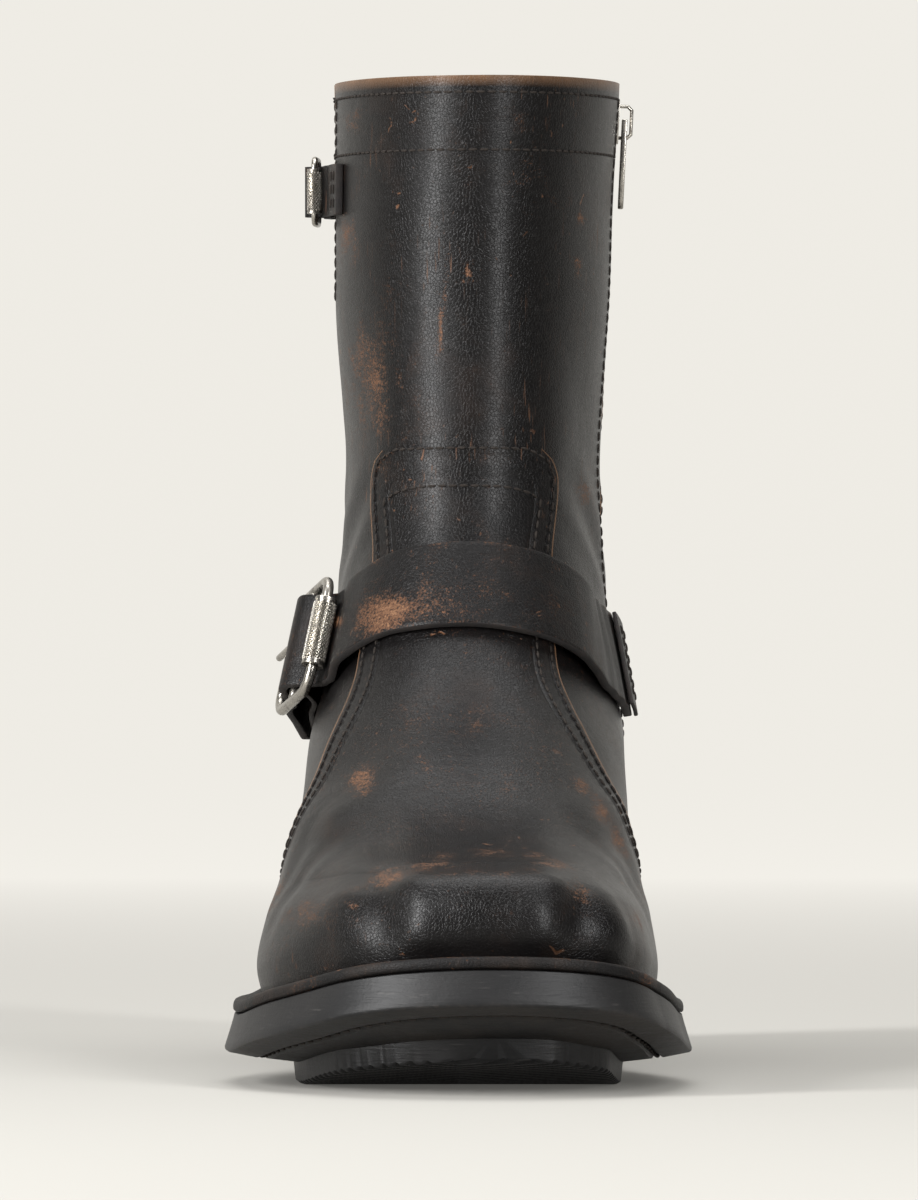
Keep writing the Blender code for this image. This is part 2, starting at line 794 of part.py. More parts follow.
# How fast the turn and the height change along the skin, straight across a line on it.
def rates_across(line, turn):
    step = 0.02
    rise = 0.001
    here = at_height(line(turn), math.pi + turn, 0)
    sideways = (at_height(line(turn), math.pi + turn + step, 0) - here) / step
    upwards = (at_height(line(turn) + rise, math.pi + turn, 0) - here) / rise
    across = skin_axes(line, turn)[1]
    mixed = sideways.dot(upwards)
    share = sideways.length_squared * upwards.length_squared - mixed * mixed
    turn_rate = (across.dot(sideways) * upwards.length_squared - across.dot(upwards) * mixed) / share
    rise_rate = (across.dot(upwards) * sideways.length_squared - across.dot(sideways) * mixed) / share
    return turn_rate, rise_rate


# Turn from the front that lies a distance along the line from another turn.
def turn_after(line, turn, distance):
    step = 0.02
    ahead = at_height(line(turn + step), math.pi + turn + step, 0)
    return turn + step * distance / (ahead - at_height(line(turn), math.pi + turn, 0)).length


# Rows of a strap on the skin, each across its width, at turns from the front.
def strap_rows(turns, line, off, width):
    rows = []
    for turn in turns:
        z = line(turn)
        distance = off(turn)
        centre = at_height(z, math.pi + turn, distance)
        out = skin_axes(line, turn)[2]
        turn_rate, rise_rate = rates_across(line, turn)
        ends = []
        for reach in (-width / 2, width / 2):
            angle = math.pi + turn + turn_rate * reach
            ends.append(at_height(z + rise_rate * reach, angle, distance))
        # Thick leather stays flat across, so it bridges a hollow and rides over a swell.
        lift = out * max(0.0, (centre - (ends[0] + ends[1]) / 2).dot(out))
        row = []
        for share in ACROSS:
            row.append(ends[0].lerp(ends[1], (share + 1) / 2) + lift * (1 - share * share))
        rows.append(row)
    return rows


# Points of a rectangle with round corners.
def rounded_rectangle(half_x, half_y, radius):
    points = []
    for corner, (sign_x, sign_y) in enumerate(((1, 1), (-1, 1), (-1, -1), (1, -1))):
        for i in range(4):
            turn = math.pi / 2 * (corner + i / 3)
            x = sign_x * (half_x - radius) + radius * math.cos(turn)
            y = sign_y * (half_y - radius) + radius * math.sin(turn)
            points.append((x, y, 0))
    return points


# A roller buckle with a centre bar. Its axes: x along the strap, y along the bars, z off the boot.
class Buckle:
    def __init__(self, name, line, turn, standoff, tilt, size):
        height, length, thickness, roller_length, roller_wall, prong = size
        self.name = name
        self.line = line
        self.turn = turn
        self.half_length = (length - thickness) / 2
        self.half_height = (height - thickness) / 2
        self.wire = thickness
        self.half_roller = roller_length / 2
        self.bore = thickness / 2 + GAP
        self.roller = self.bore + roller_wall
        self.prong = prong
        along, across, out = skin_axes(line, turn)
        self.place = Matrix((along, across, out)).transposed().to_4x4()
        self.place.translation = at_height(line(turn), math.pi + turn, standoff)
        self.place = self.place @ Matrix.Rotation(tilt, 4, "Y")

    def row(self, x, z, width):
        return [self.place @ Vector((x, share * width / 2, z)) for share in ACROSS]

    def make_frame(self):
        loop = rounded_rectangle(self.half_length, self.half_height, self.wire * 1.7)
        frame = wire(self.name + "_frame", loop, self.wire, "nickel", True, self.place)
        ends = [(0, -self.half_height, 0), (0, self.half_height, 0)]
        bar = wire(self.name + "_bar_form", ends, self.wire, None, False, self.place)
        boolean(frame, bar, "UNION")

    # The roller turns round its own z axis, which lies along the front bar.
    def make_roller(self):
        half = self.half_roller
        corners = [(self.roller, half), (self.roller, -half), (self.bore, -half), (self.bore, half)]
        name = self.name + "_roller"
        mesh = bpy.data.meshes.new(name)
        mesh.from_pydata([(x, 0, z) for x, z in corners], [(0, 1), (1, 2), (2, 3), (3, 0)], [])
        made = add_object(name, mesh, "nickel")
        turned = made.modifiers.new("turned", "SCREW")
        turned.steps = ROUND_SIDES
        turned.render_steps = ROUND_SIDES
        turned.use_merge_vertices = True
        turned.merge_threshold = 0.00001
        on_bar = Matrix.Translation((-self.half_length, 0, 0)) @ Matrix.Rotation(math.pi / 2, 4, "X")
        made.matrix_world = self.place @ on_bar

    def prong_radius(self):
        return self.wire / 2 + GAP + self.prong / 2

    def make_prong(self):
        radius = self.prong_radius()
        points = []
        for i in range(9):
            turn = math.radians(-70 - 200 * i / 8)
            points.append((radius * math.cos(turn), 0, radius * math.sin(turn)))
        points.append((self.half_length, 0, radius))
        points.append((self.half_length + self.wire * 0.8, 0, radius - self.prong * 0.15))
        wire(self.name + "_prong", points, self.prong, "nickel", False, self.place)

    # Inner face of the strap's way: under the roller, over the centre bar, under the rear bar.
    def strap_way(self, thickness):
        half = self.half_length
        under_roller = -self.roller - GAP * 1.4 - thickness
        over_bar = self.prong_radius() + self.prong / 2 + GAP * 1.4
        under_rear = -self.wire / 2 - GAP * 1.6 - thickness
        return [
            (-half - self.roller * 1.2, under_roller - thickness * 0.1),
            (-half, under_roller),
            (-half + self.roller * 1.1, under_roller + thickness * 0.20),
            (-half * 0.36, (under_roller + over_bar) / 2 + thickness * 0.35),
            (-half * 0.12, over_bar),
            (half * 0.12, over_bar),
            (half * 0.52, (over_bar + under_rear) / 2),
            (half - self.wire * 0.8, under_rear + thickness * 0.05),
            (half + self.wire * 0.8, under_rear),
        ]

    # Strap from its sewn end through the buckle to its tail, slotted for the prong.
    def make_strap(self, name, start, off, width, thickness, hanger, tail):
        before = turn_after(self.line, self.turn, -self.half_length - self.roller * 3.2)
        rows = strap_rows(spaced(start, before, STRAP_STATIONS), self.line, off, width)
        rows += [self.row(x, z, width) for x, z in self.strap_way(thickness)]
        rest = hanger + GAP * 3
        first = turn_after(self.line, self.turn, self.half_length + self.wire * 3.4)
        last = turn_after(self.line, self.turn, tail)
        turns = spaced(first, last, 4)
        fall = lambda turn: rest + hanger * (last - turn) / (last - first)
        rows += strap_rows(turns[:3], self.line, fall, width)
        rows += strap_rows(turns[3:], self.line, fall, width * TAIL_TIP)
        strap = sheet(name, rows, thickness, "strap_leather")
        half = self.prong / 2 + GAP
        low = (-self.half_length * 0.15, -half, -self.roller * 1.5 - thickness)
        high = (self.half_length * 0.85, half, self.roller * 3)
        boolean(strap, box(name + "_slot", low, high, None, self.place), "DIFFERENCE")

    # Leather that lies on the boot behind the buckle and turns round its centre bar.
    def make_hanger(self, name, length, width, thickness):
        near = turn_after(self.line, self.turn, self.half_length + self.wire)
        turns = spaced(turn_after(self.line, self.turn, length), near, 5)
        rows = strap_rows(turns, self.line, lambda turn: thickness + GAP * 1.5, width)
        radius = self.wire / 2 + GAP
        depth = (self.place.inverted() @ rows[-1][2]).z
        rows.append(self.row(self.half_length * 0.62, depth * 0.86, width))
        for i in range(9):
            turn = math.radians(-75 - 200 * i / 8)
            rows.append(self.row(radius * math.cos(turn), radius * math.sin(turn), width))
        hanger = sheet(name, [list(reversed(row)) for row in rows], -thickness, "strap_leather")
        half = self.prong / 2 + GAP * 2
        reach = radius + thickness + GAP
        low = (-reach * 1.3, -half, -reach * 1.3)
        high = (reach * 1.6, half, reach * 1.3)
        boolean(hanger, box(name + "_slot", low, high, None, self.place), "DIFFERENCE")


def make_instep_strap():
    size = (FRAME_HEIGHT, FRAME_LENGTH, FRAME_WIRE, ROLLER_LENGTH, ROLLER_WALL, PRONG_WIRE)
    buckle = Buckle("buckle", strap_height, STRAP_BUCKLE_ANGLE, FRAME_STANDOFF, STRAP_BUCKLE_TILT, size)
    buckle.make_frame()
    buckle.make_roller()
    buckle.make_prong()
    start = STRAP_LINE[0][0]
    sizes = (STRAP_WIDTH, STRAP_THICKNESS, HANGER_THICKNESS, STRAP_TAIL)
    buckle.make_strap("instep_strap", start, strap_off, *sizes)
    buckle.make_hanger("buckle_strap", STRAP_HANGER, HANGER_WIDTH, HANGER_THICKNESS)
    end = turn_after(strap_height, start, KEEPER_WIDTH)
    layer = lambda turn: strap_off(turn) + STRAP_THICKNESS + GAP * 1.6
    rows = strap_rows(spaced(start - 0.01, end, 4), strap_height, layer, STRAP_WIDTH)
    sheet("strap_keeper", rows, KEEPER_THICKNESS, "strap_leather")


def make_top_strap():
    size = (TOP_FRAME_HEIGHT, TOP_FRAME_LENGTH, TOP_FRAME_WIRE)
    size += (TOP_ROLLER_LENGTH, TOP_ROLLER_WALL, TOP_PRONG_WIRE)
    line = lambda turn: TOP_STRAP_HEIGHT
    buckle = Buckle("top_buckle", line, TOP_BUCKLE_ANGLE, TOP_FRAME_STANDOFF, TOP_BUCKLE_TILT, size)
    buckle.make_frame()
    buckle.make_roller()
    buckle.make_prong()
    off = lambda turn: GAP * 1.4
    sizes = (TOP_STRAP_WIDTH, TOP_STRAP_THICKNESS, TOP_HANGER_THICKNESS, TOP_TAIL)
    buckle.make_strap("top_strap", TOP_ROOT_ANGLE, off, *sizes)
    buckle.make_hanger("top_buckle_strap", TOP_HANGER, TOP_STRAP_WIDTH, TOP_HANGER_THICKNESS)


# Zip: x across it, y up it, z off the boot, from a height on its line
def zip_place(z, off):
    angle = zip_angle(z)
    out = skin_normal(ring_of_height(z, angle), angle)
    step = 0.003
    up = at_height(z + step, zip_angle(z + step), 0) - at_height(z - step, zip_angle(z - step), 0)
    up = (up - out * up.dot(out)).normalized()
    place = Matrix((up.cross(out), up, out)).transposed().to_4x4()
    place.translation = at_height(z, angle, off)
    return place


def make_zip():
    low = COLLAR_HEIGHT - ZIP_LENGTH
    heights = spaced(low + GAP * 2, COLLAR_HEIGHT - UPPER_WALL, 14)
    off = -UPPER_WALL - GAP * 1.3
    size = (off, -ZIP_TAPE_WALL, "zip_tape", [low - ZIP_SLOT / 2, *heights])
    skin_strip("zip_tape", zip_angle, lambda z: ZIP_TAPE_WIDTH / 2, *size)
    teeth_off = off + GAP * 1.5
    size = (teeth_off, ZIP_TEETH_THICKNESS, "dark_brass", heights)
    skin_strip("zip_teeth", zip_angle, lambda z: ZIP_TEETH_WIDTH / 2, *size)
    slider_off = teeth_off + ZIP_TEETH_THICKNESS + GAP * 1.5
    place = zip_place(COLLAR_HEIGHT - SLIDER_DROP - SLIDER_LENGTH / 2, slider_off)
    make_slider(place)
    make_pull(place)


# Height of the pull's hinge off the slider's outer face, and of the bail's wire above it
HINGE_RISE = PULL_THICKNESS * 0.71 + GAP * 1.6
BAIL_RISE = HINGE_RISE + PULL_THICKNESS * 0.71 + GAP + BAIL_WIRE / 2


def make_slider(place):
    half = SLIDER_WIDTH / 2
    long = SLIDER_LENGTH / 2
    side = [(0.72, -1), (0.86, -0.2), (1, 0.35), (0.9, 0.85), (0.45, 1)]
    # The ladder cap pairs points across the slider, so its outline starts at the middle below.
    outline_points = [(0, -1), *side, (0, 1)]
    outline_points += [(-x, y) for x, y in reversed(side)]
    rings = []
    for z in (0.0, SLIDER_THICKNESS):
        rings.append([place @ Vector((x * half, y * long, z)) for x, y in outline_points])
    slider = ring_solid("zip_slider", rings, "dark_brass")
    foot = long * 0.72
    top = SLIDER_THICKNESS + BAIL_RISE
    path = [(0, -foot, SLIDER_THICKNESS * 0.5), (0, -foot, top - BAIL_WIRE), (0, -foot + BAIL_WIRE, top)]
    path += [(0, foot - BAIL_WIRE, top), (0, foot, top - BAIL_WIRE), (0, foot, SLIDER_THICKNESS * 0.5)]
    bail = wire("bail_form", path, BAIL_WIRE, None, False, place)
    boolean(slider, bail, "UNION", "MANIFOLD")


# The pull's origin is on its hinge, in the middle of its crossbar.
def make_pull(place):
    half = PULL_WIDTH / 2
    bar = PULL_THICKNESS / 2
    hole = bar + PULL_HOLE_LENGTH
    inner = BAIL_WIRE / 2 + GAP * 1.6
    end = PULL_LENGTH - bar
    outer = [(-half, bar), (half, bar), (half, -hole), (half * 0.86, -end * 0.9), (half * 0.5, -end)]
    outer += [(-half * 0.5, -end), (-half * 0.86, -end * 0.9), (-half, -hole)]
    opening = [(-inner, -bar), (inner, -bar), (inner, -hole * 0.9), (inner * 0.8, -hole)]
    opening += [(inner * 0.3, -hole), (-inner * 0.3, -hole)]
    opening += [(-inner * 0.8, -hole), (-inner, -hole * 0.9)]
    rings = [[(x, y, bar) for x, y in outer], [(x, y, -bar) for x, y in outer]]
    rings += [[(x, y, -bar) for x, y in opening], [(x, y, bar) for x, y in opening]]
    pull = band_solid("zip_pull", rings, "dark_brass")
    pull.matrix_world = place @ Matrix.Translation((0, 0, SLIDER_THICKNESS + HINGE_RISE))


def main():
    make_outsole()
    make_welt()
    make_insole()
    make_heel()
    make_upper()
    make_vamp()
    make_gusset()
    make_instep_strap()
    make_top_strap()
    make_zip()


clear_scene()
BOOT = collection("engineer_boot", False)
CUTTERS = collection("cutters", True)
main()
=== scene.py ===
import json
import math

import bmesh
import bpy
import numpy as np
from mathutils import Matrix, Vector
from mathutils.bvhtree import BVHTree

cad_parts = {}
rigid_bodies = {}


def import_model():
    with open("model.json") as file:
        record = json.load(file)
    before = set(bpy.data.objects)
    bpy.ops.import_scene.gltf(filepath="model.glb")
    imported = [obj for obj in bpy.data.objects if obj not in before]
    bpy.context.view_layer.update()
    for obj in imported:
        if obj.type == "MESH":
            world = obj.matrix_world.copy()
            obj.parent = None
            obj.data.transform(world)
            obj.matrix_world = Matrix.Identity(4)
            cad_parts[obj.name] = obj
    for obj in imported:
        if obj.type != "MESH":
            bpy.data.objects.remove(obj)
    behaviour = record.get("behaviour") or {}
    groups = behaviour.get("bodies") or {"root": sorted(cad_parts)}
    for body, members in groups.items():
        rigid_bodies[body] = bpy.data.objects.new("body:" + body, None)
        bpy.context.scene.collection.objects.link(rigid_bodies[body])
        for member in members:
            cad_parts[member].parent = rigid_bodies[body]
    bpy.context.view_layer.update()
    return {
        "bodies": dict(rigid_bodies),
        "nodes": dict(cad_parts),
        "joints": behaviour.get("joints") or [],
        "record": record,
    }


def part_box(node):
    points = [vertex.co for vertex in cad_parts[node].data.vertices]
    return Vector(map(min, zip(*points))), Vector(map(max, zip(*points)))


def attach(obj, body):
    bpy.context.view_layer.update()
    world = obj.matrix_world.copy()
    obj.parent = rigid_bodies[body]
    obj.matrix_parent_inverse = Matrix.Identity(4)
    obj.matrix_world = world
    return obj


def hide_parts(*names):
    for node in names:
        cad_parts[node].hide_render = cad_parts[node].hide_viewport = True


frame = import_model()
print("frame loaded")

# The boot's own sizes, in metres
boot = {
    "soleLength": 0.304,
    "heelBack": 0.038,
    "ballWidth": 0.0958,
    "shaftWidth": 0.0744,
    "shaftDepth": 0.134,
    "collarHeight": 0.255,
    "toeBend": 0.0098,
    "upperWall": 0.0022,
    "vampWall": 0.0016,
    "gap": 0.0003,
    "weltThickness": 0.003,
    "weltMargin": 0.0071,
    "heelWeltMargin": 0.0036,
    "outsoleThickness": 0.0097,
    "outsoleFlare": 0.0025,
    "treadDepth": 0.008,
    "heelRise": 0.026,
    "toeSpring": 0.0145,
}
vampGap = boot["gap"] * 1.7
vampMargin = vampGap + boot["vampWall"]
soleGrow = vampMargin + boot["weltMargin"]
heelDraw = boot["weltMargin"] - boot["heelWeltMargin"]
upperLength = boot["soleLength"] - 2 * (soleGrow + boot["outsoleFlare"]) + heelDraw
featherBack = boot["heelBack"] - soleGrow - boot["outsoleFlare"] + heelDraw

# Lower edge of the outsole: share along from the heel's back, share of heelRise, share of toeSpring
soleEdgeTable = [
    (0.000, 1.00, 0.00), (0.232, 0.86, 0.00), (0.400, 0.42, 0.00), (0.530, 0.11, 0.00),
    (0.623, 0.00, 0.00), (0.732, 0.00, 0.00), (0.860, 0.00, 0.34), (1.000, 0.00, 1.00),
]
bendTable = [(0.00, 0.00), (0.35, -0.26), (0.62, -0.49), (0.80, -0.34), (1.00, 0.52)]
stationShares = (0.0, 0.12, 0.42, 0.70, 0.92, 1.0)

# Rings of the last: kind, front, back, up front, up back, follow, bend, then six widths
ringTable = [
    ("foot", 1.000, 0.000, 0.000, 0.000, 1.00, 1.00, 1.34, 0.960, 0.660, 1.060, 1.345, 1.78),
    ("foot", 1.010, 0.009, 0.033, 0.034, 0.94, 1.00, 1.34, 1.000, 0.720, 1.092, 1.380, 1.80),
    ("foot", 0.996, 0.014, 0.078, 0.067, 0.80, 0.92, 1.30, 1.000, 0.750, 1.050, 1.290, 1.68),
    ("foot", 0.942, 0.016, 0.108, 0.101, 0.62, 0.80, 1.24, 0.985, 0.760, 0.985, 1.170, 1.54),
    ("foot", 0.822, 0.014, 0.138, 0.149, 0.42, 0.68, 1.17, 0.990, 0.810, 0.955, 1.155, 1.30),
    ("foot", 0.684, 0.009, 0.216, 0.207, 0.22, 0.62, 1.08, 0.965, 0.835, 0.890, 1.010, 1.06),
    ("foot", 0.558, -0.002, 0.318, 0.279, 0.08, 0.62, 1.00, 0.905, 0.770, 0.775, 0.830, 0.860),
    ("shaft", 1.034, -0.024, 0.430, 0.375, 0.00, 0.30, 1.08, 0.995, 0.940, 0.920, 0.950, 0.97),
    ("shaft", 0.974, -0.036, 0.546, 0.495, 0.00, 0.20, 1.00, 0.935, 0.900, 0.890, 0.900, 0.92),
    ("shaft", 0.963, -0.010, 0.750, 0.726, 0.00, 0.20, 0.99, 0.970, 0.962, 0.962, 0.965, 0.97),
    ("shaft", 0.985, 0.027, 1.000, 1.000, 0.00, -0.50, 1.02, 1.005, 1.000, 1.000, 1.005, 1.01),
]


# Smooth value of a table at x, for a number or an array, without overshoot
def smooth(xs, ys, x):
    xs, ys, x = np.asarray(xs, float), np.asarray(ys, float), np.asarray(x, float)
    steps = np.diff(xs)
    rises = np.diff(ys) / steps
    before, after = rises[:-1], rises[1:]
    both = before * after > 0
    inner = np.where(both, 2 * before * after / np.where(both, before + after, 1), 0)
    slopes = np.concatenate([rises[:1], inner, rises[-1:]])
    i = np.clip(np.searchsorted(xs, x, side="right") - 1, 0, len(steps) - 1)
    t = (x - xs[i]) / steps[i]
    start = (1 + 2 * t) * (1 - t) ** 2 * ys[i] + t * (1 - t) ** 2 * slopes[i] * steps[i]
    end = t * t * (3 - 2 * t) * ys[i + 1] + t * t * (t - 1) * slopes[i + 1] * steps[i]
    low = ys[0] + slopes[0] * (x - xs[0])
    high = ys[-1] + slopes[-1] * (x - xs[-1])
    return np.where(x <= xs[0], low, np.where(x >= xs[-1], high, start + end))


def column(table, index):
    return [row[index] for row in table]


def soleEdge(y):
    along = (boot["heelBack"] - y) / boot["soleLength"]
    rise = smooth(column(soleEdgeTable, 0), column(soleEdgeTable, 1), along)
    spring = smooth(column(soleEdgeTable, 0), column(soleEdgeTable, 2), along)
    return boot["treadDepth"] + boot["heelRise"] * rise + boot["toeSpring"] * spring


def weltTop(y):
    return soleEdge(y) + boot["outsoleThickness"] + boot["gap"] + boot["weltThickness"]


def featherHeight(y):
    return weltTop(y) + boot["gap"]


ringColumns = []
for index in range(1, 13):
    values = []
    for row in ringTable:
        foot = row[0] == "foot"
        reach = upperLength if foot else boot["shaftDepth"]
        width = boot["ballWidth"] / 2 if foot else boot["shaftWidth"] / 2
        values.append(row[index] * (reach if index < 3 else width if index > 6 else 1.0))
    ringColumns.append(values)
ringNumbers = np.arange(len(ringTable))


# Points of the upper's outer face, for arrays of ring positions and angles from the back
def skin(k, angle):
    k, angle = np.broadcast_arrays(np.asarray(k, float), np.asarray(angle, float))
    front, back, upFront, upBack, follow, bend = (smooth(ringNumbers, c, k) for c in ringColumns[:6])
    share = (1 - np.cos(angle)) / 2
    yBack, yFront = featherBack + back, featherBack - front
    y = yBack + (yFront - yBack) * share
    lowBack = featherHeight(featherBack)
    lowFront = featherHeight(featherBack - upperLength)
    zBack = lowBack + upBack * (boot["collarHeight"] - lowBack)
    zFront = lowFront + upFront * (boot["collarHeight"] - lowFront)
    soleCurve = featherHeight(y) - lowBack - (lowFront - lowBack) * share
    z = zBack + (zFront - zBack) * share + follow * soleCurve
    widths = np.stack([smooth(ringNumbers, c, k) for c in ringColumns[6:]])
    half = spanAcross(widths, share)
    along = (featherBack - y) / upperLength
    aside = boot["toeBend"] * bend * smooth(column(bendTable, 0), column(bendTable, 1), along)
    return np.stack([aside + half * np.sin(angle), y, z], -1)


# The same smooth curve as above where each point has its own six widths
def spanAcross(widths, share):
    xs = np.array(stationShares)
    steps = np.diff(xs).reshape(-1, *([1] * share.ndim))
    rises = np.diff(widths, axis=0) / steps
    before, after = rises[:-1], rises[1:]
    both = before * after > 0
    inner = np.where(both, 2 * before * after / np.where(both, before + after, 1), 0)
    slopes = np.concatenate([rises[:1], inner, rises[-1:]])
    i = np.clip(np.searchsorted(xs, share, side="right") - 1, 0, len(xs) - 2)

    def pick(values, at):
        return np.take_along_axis(values, at[None], 0)[0]

    gaps = np.diff(xs)[i]
    t = np.clip((share - xs[i]) / gaps, 0, 1)
    start = (1 + 2 * t) * (1 - t) ** 2 * pick(widths, i) + t * (1 - t) ** 2 * pick(slopes, i) * gaps
    end = t * t * (3 - 2 * t) * pick(widths, i + 1) + t * t * (t - 1) * pick(slopes, i + 1) * gaps
    return start + end


def skinNormal(k, angle):
    step = 0.01
    up = skin(k + step, angle) - skin(k - step, angle)
    around = skin(k, angle + step) - skin(k, angle - step)
    out = np.cross(up, around)
    return out / np.linalg.norm(out, axis=-1, keepdims=True)


def onSkin(k, angle, off):
    return skin(k, angle) + skinNormal(k, angle) * np.asarray(off)[..., None]


# Ring position where the upper's face reaches a height at this angle
def ringOfHeight(z, angle):
    z, angle = np.broadcast_arrays(np.asarray(z, float), np.asarray(angle, float))
    low = np.zeros(z.shape)
    high = np.full(z.shape, float(len(ringTable) - 1))
    for _ in range(22):
        middle = (low + high) / 2
        below = skin(middle, angle)[..., 2] < z
        low = np.where(below, middle, low)
        high = np.where(below, high, middle)
    return (low + high) / 2


def atHeight(z, angle, off):
    k = ringOfHeight(z, angle)
    return onSkin(k, angle, np.broadcast_to(off, k.shape))


# Plan outline of the upper at the feather line, grown outwards, and less so at the heel
def outline(angle, grow):
    angle = np.asarray(angle, float)
    step = 0.01
    point = skin(0, angle)
    grow = grow + 0 * angle
    along = (featherBack - point[..., 1]) / upperLength
    draw = heelDraw * smooth((0.0, 0.2, 0.5, 1.0), (1.0, 0.85, 0.0, 0.0), along)
    grow = np.where(grow > 0, grow - draw, grow)
    ahead = skin(0, angle + step) - skin(0, angle - step)
    outward = np.stack([-ahead[..., 1], ahead[..., 0]], -1)
    outward /= np.linalg.norm(outward, axis=-1, keepdims=True)
    return point[..., :2] + outward * grow[..., None]


# A socket of a material that is being built, with the usual operators
class Signal:
    def __init__(self, finish, socket):
        self.finish, self.socket = finish, socket

    def combine(self, operation, first, second=0.0):
        return self.finish.node("ShaderNodeMath", {"operation": operation}, [first, second])

    def __add__(self, other):
        return self.combine("ADD", self, other)

    def __sub__(self, other):
        return self.combine("SUBTRACT", self, other)

    def __rsub__(self, other):
        return self.combine("SUBTRACT", other, self)

    def __mul__(self, other):
        return self.combine("MULTIPLY", self, other)

    __radd__ = __add__
    __rmul__ = __mul__

    def most(self, other):
        return self.combine("MAXIMUM", self, other)

    # 0 below low, 1 above high, soft in between
    def rise(self, low, high):
        sockets = {"Value": self, "From Min": low, "From Max": high}
        return self.finish.node("ShaderNodeMapRange", {"interpolation_type": "SMOOTHSTEP"}, sockets)


# One material, from its nodes to its Principled shader
class Finish:
    def __init__(self, name, **constants):
        self.material = bpy.data.materials.new(name)
        self.material.use_nodes = True
        self.tree = self.material.node_tree
        self.shader = self.tree.nodes["Principled BSDF"]
        for key, value in constants.items():
            self.shader.inputs[key.replace("_", " ")].default_value = value
        self.place = self.node("ShaderNodeTexCoord", {}, {}, "Object")

    def node(self, kind, settings, sockets, out=0):
        made = self.tree.nodes.new(kind)
        for key, value in settings.items():
            setattr(made, key, value)
        pairs = enumerate(sockets) if isinstance(sockets, list) else sockets.items()
        for key, value in pairs:
            self.feed(made.inputs[key], value)
        return Signal(self, made.outputs[out])

    def feed(self, socket, value):
        if isinstance(value, Signal):
            self.tree.links.new(value.socket, socket)
        else:
            socket.default_value = value

    def turned(self, scale=(1, 1, 1), turn=(0, 0, 0)):
        return self.node("ShaderNodeMapping", {}, {"Vector": self.place, "Scale": scale, "Rotation": turn})

    def noise(self, scale, detail=3.0, rough=0.55, where=None, distort=0.0):
        sockets = {"Vector": where or self.place, "Scale": scale, "Detail": detail}
        sockets.update({"Roughness": rough, "Distortion": distort})
        return self.node("ShaderNodeTexNoise", {}, sockets)

    def cells(self, scale, feature="F1", where=None):
        sockets = {"Vector": where or self.place, "Scale": scale}
        return self.node("ShaderNodeTexVoronoi", {"feature": feature}, sockets)

    def field(self, name):
        return self.node("ShaderNodeAttribute", {"attribute_name": name}, {}, "Fac")

    def mix(self, share, first, second):
        made = self.tree.nodes.new("ShaderNodeMix")
        made.data_type = "RGBA"
        for index, value in ((0, share), (6, first), (7, second)):
            self.feed(made.inputs[index], value if isinstance(value, (Signal, float)) else (*value, 1))
        return Signal(self, made.outputs[2])

    # The heights of the bump are in metres
    def done(self, colour=None, roughness=None, height=None, metallic=None, coat=None):
        pairs = {"Base Color": colour, "Roughness": roughness, "Metallic": metallic, "Coat Weight": coat}
        for key, value in pairs.items():
            if value is not None:
                self.feed(self.shader.inputs[key], value)
        if height is not None:
            bump = {"Height": height, "Distance": 1.0, "Strength": 1.0}
            self.feed(self.shader.inputs["Normal"], self.node("ShaderNodeBump", {}, bump, "Normal"))
        return self.material


# Waxed black leather over brown: "wear" on the mesh says where it is rubbed through.
def leatherFinish(name, looks):
    finish = Finish(name, Specular_IOR_Level=looks["gloss"], Coat_Roughness=0.32)
    cloud = finish.noise(24, 3)
    patch = finish.noise(95, 4, 0.6, distort=0.6)
    speck = finish.noise(520, 3, 0.7)
    wear = finish.field("wear")
    streak = finish.noise(1.0, 4, 0.7, finish.turned((260, 260, 900), (0.15, 0.25, 0.0)))
    grain = finish.noise(1700, 3, 0.75)
    rubbed = (wear + (patch - 0.5) * 1.3 + (grain - 0.5) * 2.4 + (streak - 0.5) * 1.0).rise(0.48, 1.00)
    raw = (wear * 0.8 + (patch - 0.5) * 0.8 + (streak - 0.5) * 1.1 + (grain - 0.5) * 1.6).rise(0.74, 1.20)
    tint = (cloud + (patch - 0.5) * 0.7).rise(0.50, 0.85)
    lines = finish.noise(1.0, 2, 0.5, finish.turned((1500, 1500, 75), (0.10, 0.16, 0.0)))
    crossLines = finish.noise(1.0, 2, 0.5, finish.turned((1300, 1300, 95), (0.5, -0.9, 0.3)))
    fewer = finish.noise(42, 2).rise(0.44, 0.62)
    scratch = (lines.rise(0.66, 0.73)).most(crossLines.rise(0.67, 0.74)) * fewer
    nick = finish.noise(260, 2, 0.6, distort=1.2).rise(0.69, 0.75) * finish.noise(30, 1).rise(0.40, 0.58)
    colour = finish.mix(tint * looks["tint"], looks["black"], looks["dusk"])
    colour = finish.mix(scratch * 0.55, colour, looks["brown"])
    colour = finish.mix((nick * 0.80).most(rubbed * 0.80), colour, looks["brown"])
    bare = finish.field("bare") * (0.35 + patch * 0.9)
    colour = finish.mix((raw * 0.50).most(bare), colour, looks["tan"])
    inputs = {0: finish.noise(800, 2), "Scale": 0.0006}
    shift = finish.node("ShaderNodeVectorMath", {"operation": "SCALE"}, inputs)
    shifted = finish.node("ShaderNodeVectorMath", {"operation": "ADD"}, [finish.place, shift])
    pores = finish.cells(1150, "DISTANCE_TO_EDGE", shifted)
    fold = finish.noise(1.0, 3, 0.6, finish.turned((60, 60, 190), (0.2, 0.1, 0.0)))
    height = pores.rise(0.0, 0.16) * 0.000045 + grain * 0.000032 + speck * 0.00005
    height = height + patch * 0.00018 + fold * looks["fold"]
    height = height - scratch * 0.00003 - nick * 0.00008 - raw * 0.00004
    roughness = looks["rough"] + (cloud - 0.5) * 0.16 + rubbed * 0.20 + (speck - 0.5) * 0.10 + scratch * 0.1
    coat = looks["coat"] * (1.0 - rubbed)
    return finish.done(colour, roughness, height, coat=coat)


